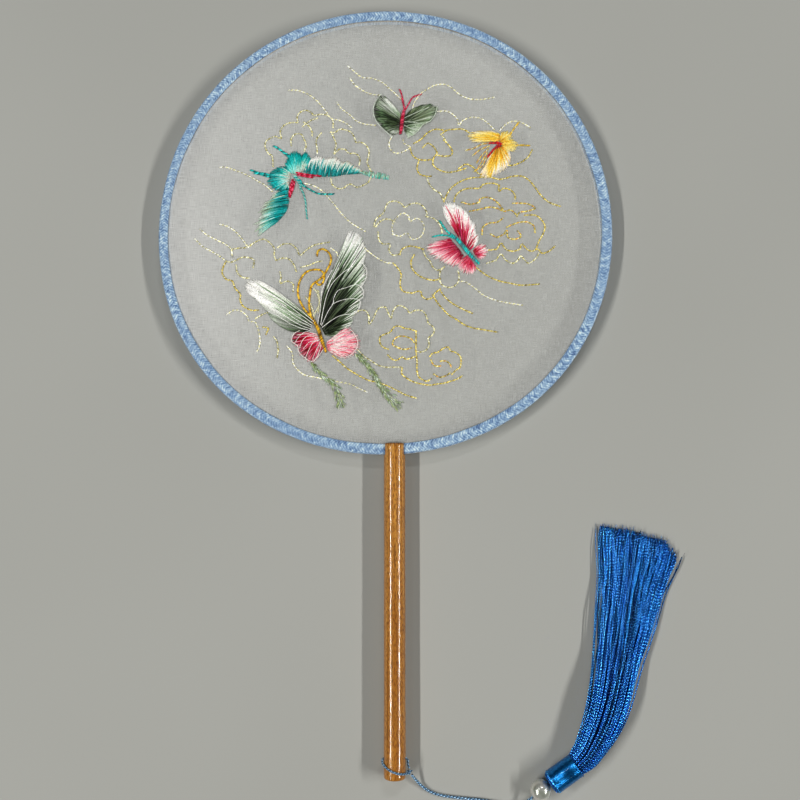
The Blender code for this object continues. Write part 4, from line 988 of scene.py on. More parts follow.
# Wings: a None in an outline marks a cusp; bow and blend are (places along the edge, values); top and
# low are the dyes from root to edge at its two ends; crown is how proud the padding stands
wings = {
    "greyForewingLeft": {
        "nodes": ["grey_butterfly_forewing_left"], "slot": "grey_thread", "crown": 0.0009, "feather": 0.006,
        "vary": 0.65, "veinDye": "white",
        "root": [(313, 319), (311.5, 325), (309, 331)],
        "edge": [(270, 286), (261, 281), (253, 279.5), (248, 280.5), (245, 284), (245, 288), (248, 293),
            (255, 299), (262, 306), (267.5, 312.5), (271.5, 319), (280, 326), (290, 331), (304, 333)],
        "bow": ([0, 0.3, 0.6, 0.8, 1], [-0.02, 0.0, 0.12, 0.22, 0.1]),
        "top": [(0, "moss"), (0.18, "grey"), (0.37, "sage"), (0.55, "mint"), (0.69, "white"), (1, "white")],
        "low": [(0, "forest"), (0.45, "forest"), (0.7, "moss"), (0.88, "grey"), (1, "sage")],
        "blend": ([0, 0.42, 0.62, 1], [0, 0.0, 0.7, 1]),
        "veins": [
            [(313, 321), (299, 309), (284, 297), (268, 287)],
            [(312, 323), (297, 312), (281, 300), (262, 288)],
            [(311, 325), (296, 316), (280, 304), (260, 292)],
            [(311, 327), (297, 320), (281, 309), (262, 296)],
            [(310, 329), (298, 324), (285, 316), (270, 305)],
            [(309, 330.5), (300, 328), (289, 323), (278, 316)]],
    },
    "greyForewingRight": {
        "nodes": ["grey_butterfly_forewing_right"], "slot": "grey_thread", "crown": 0.0009,
        "feather": 0.006, "vary": 0.6, "veinDye": "white",
        "root": [(319, 324), (322, 329), (325, 335)],
        "edge": [(350, 251), (352, 245), (351.5, 240), (348.8, 235), (349, 231), (353, 230.3), (359, 234),
            (364, 242), (366, 252), (364, 262), None, (367, 269), (366.5, 277), (362.5, 286), None,
            (364, 293), (360.5, 301), None, (359, 309), (353, 316), None, (352, 323), (345, 329),
            (335, 336)],
        "bow": ([0, 0.25, 0.55, 1], [0.22, 0.17, 0.1, -0.05]),
        "tipBow": ([0, 0.25, 0.55, 1], [0.0, 0.02, 0.06, -0.05]),
        "top": [(0, "forest"), (0.48, "forest"), (0.64, "moss"), (0.73, "sage"), (0.81, "silver"),
            (0.88, "white"), (1, "white")],
        "low": [(0, "forest"), (0.45, "forest"), (0.68, "moss"), (0.82, "sage"), (0.93, "silver"),
            (1, "white")],
        "blend": ([0, 0.3, 0.5, 1], [0, 0.1, 1, 1]),
        "veins": [
            [(318, 323), (320, 313), (321, 302), (322, 292), (326, 281), (332, 271)],
            [(321, 324), (323, 312), (327, 295), (333, 283), (343, 273), (352, 267)],
            [(322, 325), (328, 312), (333, 304), (334, 298), (338, 291), (346, 288), (357, 285), (363, 290),
             (363, 297), (360, 300)],
            [(333, 304), (340, 301), (349, 299), (359, 300), (360, 306), (357, 312)],
            [(323, 327), (331, 321), (340, 316), (351, 314)],
            [(363, 264), (366.5, 270), (366, 279), (361, 287)]],
    },
    "greyHindwingLeft": {
        "nodes": ["grey_butterfly_hindwing_left"], "slot": "pink_thread", "crown": 0.0007,
        "veinDye": "pinkWhite",
        "root": [(316, 333), (319, 338), (322, 345)],
        "edge": [(306, 332.5), (298, 331.5), (293, 336), (292, 342), (298, 346.5), None, (299, 352),
            (305, 358), (312, 362), (318, 357), (323, 350)],
        "bow": ([0, 1], [0.05, -0.05]),
        "top": [(0, "blush"), (0.25, "rose"), (0.6, "crimson"), (0.85, "wine"), (1, "rose")],
        "low": [(0, "blush"), (0.3, "rose"), (0.6, "crimson"), (0.85, "wine"), (1, "blush")],
        "veins": [
            [(299, 331), (294, 334), (292, 341), (298, 346), None, (299, 352), (305, 358), (312, 361.5),
             (318, 357), (323, 350)], [(318, 338), (309, 336), (303, 340), (300, 347)],
            [(319, 340), (313, 343), (309, 350), (306, 357)], [(320, 343), (317, 349), (313, 358)],
            [(316, 334), (306, 332), (299, 337), (295, 343)], [(318, 341), (310, 342), (304, 348)],
            [(321, 346), (319, 353), (315, 360)], [(317, 336), (307, 334), (298, 335)]],
    },
    "greyHindwingRight": {
        "nodes": ["grey_butterfly_hindwing_right"], "slot": "pink_thread", "crown": 0.0007,
        "veinDye": "pinkWhite",
        "root": [(327, 341), (326.5, 345), (328, 350)],
        "edge": [(338, 334), (346, 327.5), (352, 331), (357.5, 339), (358, 346), (354, 353), (347, 357.5),
            (339, 357), (333, 354)],
        "bow": ([0, 1], [-0.04, 0.05]),
        "top": [(0, "rose"), (0.25, "pinkWhite"), (0.5, "blush"), (0.8, "rose"), (1, "blush")],
        "low": [(0, "rose"), (0.3, "pinkWhite"), (0.6, "blush"), (0.82, "rose"), (1, "pinkWhite")],
        "veins": [
            [(346, 328), (352, 331), (357, 339), (357.5, 346), (354, 352), (347, 357), (339, 356.5),
             (332, 352)], [(330, 343), (336, 341), (342, 339)], [(331, 347), (339, 346), (346, 343)],
            [(333, 351), (341, 351), (349, 348)], [(334, 339), (340, 336), (346, 334)],
            [(335, 336), (342, 332), (349, 331)], [(338, 344), (346, 341), (354, 338)],
            [(338, 348.5), (346, 347.5), (355, 344)], [(334, 353), (340, 354), (346, 354)]],
    },
    "tealUpperBody": {
        "nodes": ["teal_butterfly_upper_body"], "slot": "teal_thread", "crown": 0.0011, "full": 0.7,
        "root": [(291, 173), (297, 173.5), (304, 170)],
        "edge": [(286, 170), (285.5, 162), (289, 155.5), (293.5, 152.5), (298.5, 152), (302, 155.5), None,
            (305, 153), (309.5, 155.5), (310.5, 161), (308.5, 167)],
        "bow": ([0, 1], [-0.12, 0.12]),
        "top": [(0, "aqua"), (0.3, "tealLight"), (0.7, "teal"), (1, "teal")],
        "low": [(0, "bone"), (0.35, "bone"), (0.55, "tealLight"), (1, "teal")],
    },
    "tealLowerBody": {
        "nodes": ["teal_butterfly_lower_body"], "slot": "teal_thread", "crown": 0.0011, "full": 0.7,
        "root": [(291, 172), (290, 177), (288.5, 184)],
        "edge": [(288, 166.5), (280, 166.5), (272, 170.5), (268.3, 176), (269, 184), (275, 190), (283, 191),
            (288.5, 190)],
        "bow": ([0, 1], [-0.12, 0.12]),
        "top": [(0, "bone"), (0.3, "tealLight"), (0.6, "teal"), (1, "teal")],
        "low": [(0, "bone"), (0.4, "aqua"), (0.6, "teal"), (1, "tealDeep")],
    },
    "tealWingRight": {
        "nodes": ["teal_butterfly_wing_right"], "slot": "teal_thread", "crown": 0.0008, "feather": 0.03,
        "lean": 0.02, "full": 0.8, "pitch": 0.00036,
        "root": [(303, 171.5), (310, 174.5), (320, 176.5), (333, 176.5), (346, 174.5), (359, 173.5)],
        "edge": [(308, 164), (309.5, 160.5), (313, 157), (319.5, 155.8), (325, 158.5), None, (330.5, 157),
            (337.5, 158), (342, 162), None, (348.5, 161), (354, 165), (360, 168), (363, 172)],
        "bow": ([0, 1], [0.06, 0.06]),
        "top": [(0, "teal"), (0.3, "tealDeep"), (0.46, "teal"), (0.6, "bone"), (0.72, "white"),
            (1, "white")],
        "low": [(0, "tealDeep"), (0.42, "teal"), (0.62, "aqua"), (0.78, "silver"), (1, "bone")],
        "blend": ([0, 0.6, 1], [0, 0.5, 1]),
    },
    "tealWingLow": {
        "nodes": ["teal_butterfly_wing_low"], "slot": "teal_thread", "crown": 0.0008, "feather": 0.12,
        "lean": 0.1, "full": 0.9, "sparse": 0.62, "pitch": 0.00038,
        "root": [(287.5, 188), (289, 198), (288, 207), (284, 214.5), (278, 221), (273.5, 224.5)],
        "edge": [(276, 191), (270, 198), (264, 207), (259.5, 216), (257.5, 225), (258, 236)],
        "bow": ([0, 1], [-0.05, -0.05]),
        "top": [(0, "teal"), (0.3, "tealDeep"), (0.6, "teal"), (0.85, "sage"), (1, "silver")],
        "low": [(0, "tealDeep"), (0.35, "teal"), (0.62, "aqua"), (1, "silver")],
    },
    "tealTail": {
        "slot": "teal_thread", "crown": 0.0003, "feather": 0.08, "lean": -0.06, "full": 0.8, "rows": 1,
        "pitch": 0.00052,
        "root": [(361, 173.5), (371, 177), (381, 179), (389, 179.5)],
        "edge": [(364, 170.5), (374, 171.5), (384, 173), (391, 176)],
        "bow": ([0, 1], [0, 0]),
        "top": [(0, "tealLight"), (0.5, "mint"), (1, "aqua")],
    },
    "greenWingLeft": {
        "nodes": ["green_butterfly_wing_left"], "slot": "grey_thread", "crown": 0.0008, "feather": 0.03,
        "vary": 0.45, "veinDye": "silver",
        "root": [(401, 114), (400.5, 122), (400, 131)],
        "edge": [(394, 105), (387, 98), (381, 95), (376.5, 101), (374, 109), (376, 119), (383, 128),
            (392, 134.5), (398, 133)],
        "bow": ([0, 1], [0.05, -0.12]),
        "top": [(0, "sage"), (0.4, "silver"), (0.7, "white"), (1, "grey")],
        "low": [(0, "forest"), (0.35, "grey"), (0.6, "moss"), (0.85, "sage"), (1, "moss")],
        "blend": ([0, 0.22, 0.4, 0.78, 0.9, 1], [0, 0.1, 1, 1, 0.4, 0.3]),
        "veins": [
            [(381, 95), (377, 100), (373.5, 108), (374, 116), (378, 124), (385, 131), (392, 137)]],
    },
    "greenWingRight": {
        "nodes": ["green_butterfly_wing_right"], "slot": "grey_thread", "crown": 0.0008, "feather": 0.03,
        "vary": 0.45, "veinDye": "silver",
        "root": [(404.5, 117), (404, 124), (404.5, 131)],
        "edge": [(408, 112), (414, 107.5), (423, 104.5), (431, 104.5), (437, 108), (434.5, 116),
            (430, 121.5), None, (423, 125), (419, 130), None, (415, 134), (408, 137.5)],
        "bow": ([0, 1], [-0.08, 0.06]),
        "top": [(0, "forest"), (0.35, "moss"), (0.7, "olive"), (0.9, "sage"), (1, "moss")],
        "low": [(0, "moss"), (0.35, "sage"), (0.65, "silver"), (1, "mint")],
        "blend": ([0, 0.5, 0.72, 1], [0, 0.15, 0.8, 1]),
        "veins": [
            [(437, 108), (434.5, 116), (430, 121.5), None, (423, 125), (419, 130), None, (415, 134),
             (408, 137.5)], [(405, 126), (411, 129), (416, 131)], [(405, 122), (413, 122.5), (421, 124)],
            [(405, 118), (416, 113), (428, 108)]],
    },
    "yellowWingLeft": {
        "nodes": ["yellow_butterfly_wing_left"], "slot": "yellow_thread", "crown": 0.0007,
        "root": [(500, 134), (499.5, 138), (499, 142)],
        "edge": [(492, 130.5), (481, 131), (473, 132), (468.5, 136), (472, 141), (481, 142), (491, 141)],
        "bow": ([0, 1], [0.05, -0.05]),
        "top": [(0, "yellow"), (0.5, "yellow"), (0.85, "lemon"), (1, "cream")],
        "low": [(0, "amber"), (0.5, "yellow"), (1, "lemon")],
    },
    "yellowWingTop": {
        "nodes": ["yellow_butterfly_wing_top"], "slot": "yellow_thread", "crown": 0.0007,
        "root": [(499.5, 139), (500.5, 143), (502, 147)],
        "edge": [(501, 132), (507, 131), (511.5, 134), (512.5, 139), None, (517.5, 143), (515, 150),
            (509, 151)],
        "bow": ([0, 1], [-0.05, 0.08]),
        "top": [(0, "amber"), (0.4, "yellow"), (1, "lemon")],
    },
    "yellowWingLow": {
        "nodes": ["yellow_butterfly_wing_low"], "slot": "yellow_thread", "crown": 0.0008, "feather": 0.02,
        "root": [(502, 146), (499, 146), (496, 148)],
        "edge": [(507, 148), (510.5, 154), (511, 161), None, (506.5, 168), (500, 172.5), None, (493, 176),
            (485, 178), (480, 174), (485, 167), (488, 158)],
        "bow": ([0, 1], [-0.06, 0.06]),
        "top": [(0, "goldDark"), (0.2, "amber"), (0.6, "yellow"), (0.75, "lemon"), (0.84, "white"),
            (1, "cream")],
        "low": [(0, "goldDark"), (0.2, "amber"), (0.66, "yellow"), (0.8, "lemon"), (0.9, "cream"),
            (1, "cream")],
    },
    "pinkWingUpper": {
        "nodes": ["pink_butterfly_wing_upper"], "slot": "pink_thread", "crown": 0.0008, "feather": 0.02,
        "vary": 0.4,
        "root": [(458, 236), (464, 243), (470, 250)],
        "edge": [(447, 221), (443, 211), (444, 203.5), (452, 202.5), (460, 206), (467, 211.5), (470, 218),
            None, (475, 224), (476, 231), (479, 238), (476, 245)],
        "bow": ([0, 1], [-0.05, 0.05]),
        "top": [(0, "wine"), (0.15, "crimson"), (0.42, "crimson"), (0.52, "rose"), (0.62, "pinkWhite"),
            (0.8, "white"), (1, "white")],
    },
    "pinkWingLeft": {
        "nodes": ["pink_butterfly_wing_left"], "slot": "pink_thread", "crown": 0.0008, "feather": 0.06,
        "vary": 0.4, "sparse": 0.4,
        "root": [(450, 238), (457, 246), (464, 255)],
        "edge": [(444, 240), (437, 241), (430, 244), (427, 248), (430, 253), (436, 258), (444, 262),
            (452, 266), (459, 264)],
        "bow": ([0, 1], [0.08, -0.08]),
        "top": [(0, "crimson"), (0.45, "crimson"), (0.7, "rose"), (0.87, "blush"), (1, "pinkWhite")],
        "low": [(0, "wine"), (0.25, "crimson"), (0.5, "rose"), (0.75, "blush"), (1, "pinkWhite")],
    },
    "pinkHindwingRight": {
        "nodes": ["pink_butterfly_hindwing_right"], "slot": "pink_thread", "crown": 0.0007,
        "root": [(473, 251), (474.5, 254), (477, 257)],
        "edge": [(476, 246), (482, 243.5), (487.5, 248), (487, 255), (481, 259.5)],
        "bow": ([0, 1], [-0.06, 0.06]),
        "top": [(0, "crimson"), (0.25, "crimson"), (0.48, "rose"), (0.75, "blush"), (1, "pinkWhite")],
    },
    "pinkHindwingLow": {
        "nodes": ["pink_butterfly_hindwing_low"], "slot": "pink_thread", "crown": 0.0007,
        "root": [(467, 255), (470, 258), (473.5, 262)],
        "edge": [(461, 260), (458, 267), (464, 272.5), (472, 273.5), (477, 268)],
        "bow": ([0, 1], [0.06, -0.06]),
        "top": [(0, "rose"), (0.35, "crimson"), (0.6, "rose"), (0.8, "blush"), (1, "pinkWhite")],
    },
}

# Bodies: half widths in pixels along the line
bodies = {
    "greyBody": {
        "nodes": ["grey_butterfly_body"], "slot": "gold_thread",
        "colours": ["gold", "goldDark", "brown", "gold"],
        "line": [(311, 317), (315, 323), (319, 331), (322, 341), (326, 352)],
        "width": [1.1, 1.4, 1.5, 1.3, 0.8],
    },
    "greenBody": {
        "nodes": ["green_butterfly_body"], "slot": "pink_thread", "colours": ["crimson", "rose", "wine"],
        "line": [(404, 110), (402.5, 118), (401.5, 127), (400.5, 134)],
        "width": [1.3, 1.7, 1.6, 1.0],
    },
    "pinkBody": {
        "nodes": ["pink_butterfly_body"], "slot": "teal_thread", "colours": ["teal", "slate", "tealLight"],
        "line": [(449, 233), (458, 240), (468, 252), (479, 263.5)],
        "width": [1.0, 1.5, 1.6, 1.0],
    },
}

# Feelers, legs, accents and dashes: thread widths in metres
lines = {
    "greyFeelers": {
        "nodes": ["grey_butterfly_feeler_left", "grey_butterfly_feeler_right", "grey_butterfly_feeler_tip"],
        "slot": "gold_thread", "width": 0.00046, "colours": ["gold", "yellow", "gold", "goldDark"],
        "runs": [
            [(311, 317), (303, 307), (298, 295), (299, 283), (304, 274), (311, 270), (320, 270), (324, 275),
             (323, 282), (319, 285), (316, 282)],
            [(311, 316), (309, 305), (310, 293), (312, 285), (321, 278), (328, 268), (331, 260), (329, 253),
             (323, 249), (318, 251), (317, 255)]],
    },
    "greyLoop": {
        "slot": "cloud_thread", "width": 0.00022, "colours": ["champagne", "champagneLight"],
        "runs": [
            [(306, 297), (310, 303), (313, 311), (314, 317)],
            [(312, 287), (317, 293), (319, 304), (315, 313)], [(318, 291), (319.5, 300), (318, 312)]],
    },
    "tealFeelers": {
        "nodes": ["teal_butterfly_feeler_high", "teal_butterfly_feeler_low", "teal_butterfly_leg"],
        "slot": "teal_thread", "width": 0.0004, "colours": ["teal", "tealLight", "tealDeep"],
        "runs": [
            [(274, 146), (278, 148), (284, 153), (290, 158)], [(275, 146.5), (282, 151), (289, 155.5)],
            [(251, 170), (258, 172.5), (265, 173.5), (270, 175)], [(255, 173), (263, 175), (270, 177)],
            [(300, 180), (303, 185), (309, 189), (317, 193), (324, 194), (333, 194)]],
    },
    "tealDashes": {
        "slot": "teal_thread", "width": 0.0003, "colours": ["aqua", "teal"],
        "runs": [
            [(300, 187), (303.5, 194), (305.5, 202), (306, 210), (307, 218)],
            [(294, 176), (297, 180), (301, 186)], [(295.5, 176), (299, 180), (302, 185)]],
    },
    "tealAccents": {
        "slot": "pink_thread", "width": 0.00054, "colours": ["crimson", "rose", "crimson"],
        "runs": [
            [(297, 172.5), (303, 174), (311, 175), (320, 176)], [(298, 174.5), (304, 176), (312, 177.2)],
            [(292.5, 180), (290.5, 186), (289.5, 196)], [(294.2, 182), (293, 188), (290, 196)],
            [(292, 183), (291.5, 190)]],
    },
    "greenFeelers": {
        "nodes": ["green_butterfly_feeler"], "slot": "pink_thread", "width": 0.0003,
        "colours": ["crimson", "rose"],
        "runs": [
            [(400, 90), (402, 96), (404, 106), (404, 113)], [(421, 94), (413, 97), (409, 103), (405, 110)],
            [(402, 99), (404, 107)]],
    },
    "yellowFeelers": {
        "nodes": ["yellow_butterfly_feeler_high", "yellow_butterfly_feeler_low"], "slot": "yellow_thread",
        "width": 0.00034, "colours": ["gold", "lemon", "yellow"],
        "runs": [
            [(511, 133), (515, 127), (519, 122)], [(517, 145), (523, 145), (529, 145.5)]],
    },
    "yellowAccents": {
        "slot": "pink_thread", "width": 0.00042, "colours": ["scarlet", "crimson"],
        "runs": [
            [(488, 139), (494, 140.5), (500, 143)], [(490, 143), (496, 143), (501, 144)],
            [(488, 156), (493, 150), (498, 145)], [(491, 156), (496, 150), (500, 146)]],
    },
    "yellowDashes": {
        "slot": "gold_thread", "width": 0.00022, "colours": ["old", "oldLight", "orange"],
        "runs": [
            [(490, 143), (482, 144), (474, 148), (466, 150)], [(489, 146), (481, 149), (473, 155)],
            [(488, 149), (482, 155), (477, 162)], [(487, 153), (482, 161), (478, 168)],
            [(486, 158), (482, 166), (474, 171)]],
    },
    "pinkFeelers": {
        "nodes": ["pink_butterfly_feeler_high", "pink_butterfly_feeler_low"], "slot": "teal_thread",
        "width": 0.00032, "colours": ["teal", "tealLight"],
        "runs": [
            [(458, 239), (449, 233), (444, 227), (440, 221)],
            [(458, 240), (449, 236), (441, 235), (433, 236.5)]],
    },
}

tails = {
    "greyTailLeft": {
        "nodes": ["grey_butterfly_tail_left"], "slot": "grey_thread",
        "line": [(311, 362), (317, 370), (325, 377), (333, 384), (338, 393), (341, 405)],
        "width": [1.0, 1.4, 2.4, 3.4, 4.6, 4.2],
    },
    "greyTailRight": {
        "nodes": ["grey_butterfly_tail_right"], "slot": "grey_thread",
        "line": [(356, 353), (364, 362), (371, 371), (377, 380), (384, 391), (391, 398), (399, 405)],
        "width": [1.4, 1.6, 1.8, 2.0, 3.4, 4.8, 5.2],
    },
}


# Each kind of piece takes its random draws from its own run of seeds
def stitchAll(pieces, firstSeed, sew):
    for seed, (name, w) in enumerate(pieces.items(), firstSeed):
        threads = Threads()
        sew(threads, w, seed)
        slot, solids = w.get("slot", "cloud_thread"), w.get("nodes", [])
        place(name, threads.mesh(name), floss, "fan", slot, *solids)


def sewWing(threads, w, seed):
    wingThreads(threads, w, seed)
    for j, run in enumerate(w.get("veins", [])):
        ropeStitch(threads, run, stitch["veinWidth"], [w["veinDye"]], seed + j, length=0.0016, lean=5,
                   overlap=0.8, height=w["crown"] * 0.75 + 0.0004, vary=0.06)


def sewLines(threads, w, seed):
    for j, run in enumerate(w["runs"]):
        ropeStitch(threads, run, w["width"], w["colours"], seed * 7 + j, length=0.0018, lean=26,
                   height=0.0001)


def sewCloud(threads, w, seed):
    for j, (colours, run) in enumerate(w["runs"]):
        ropeStitch(threads, run, stitch["cloudWidth"], colours, seed * 11 + j, length=0.0013, lean=28,
                   vary=0.28)


stitchAll(wings, 100, sewWing)
stitchAll(bodies, 300, bodyThreads)
stitchAll(lines, 400, sewLines)
stitchAll(tails, 500, tailThreads)
print("butterflies stitched")

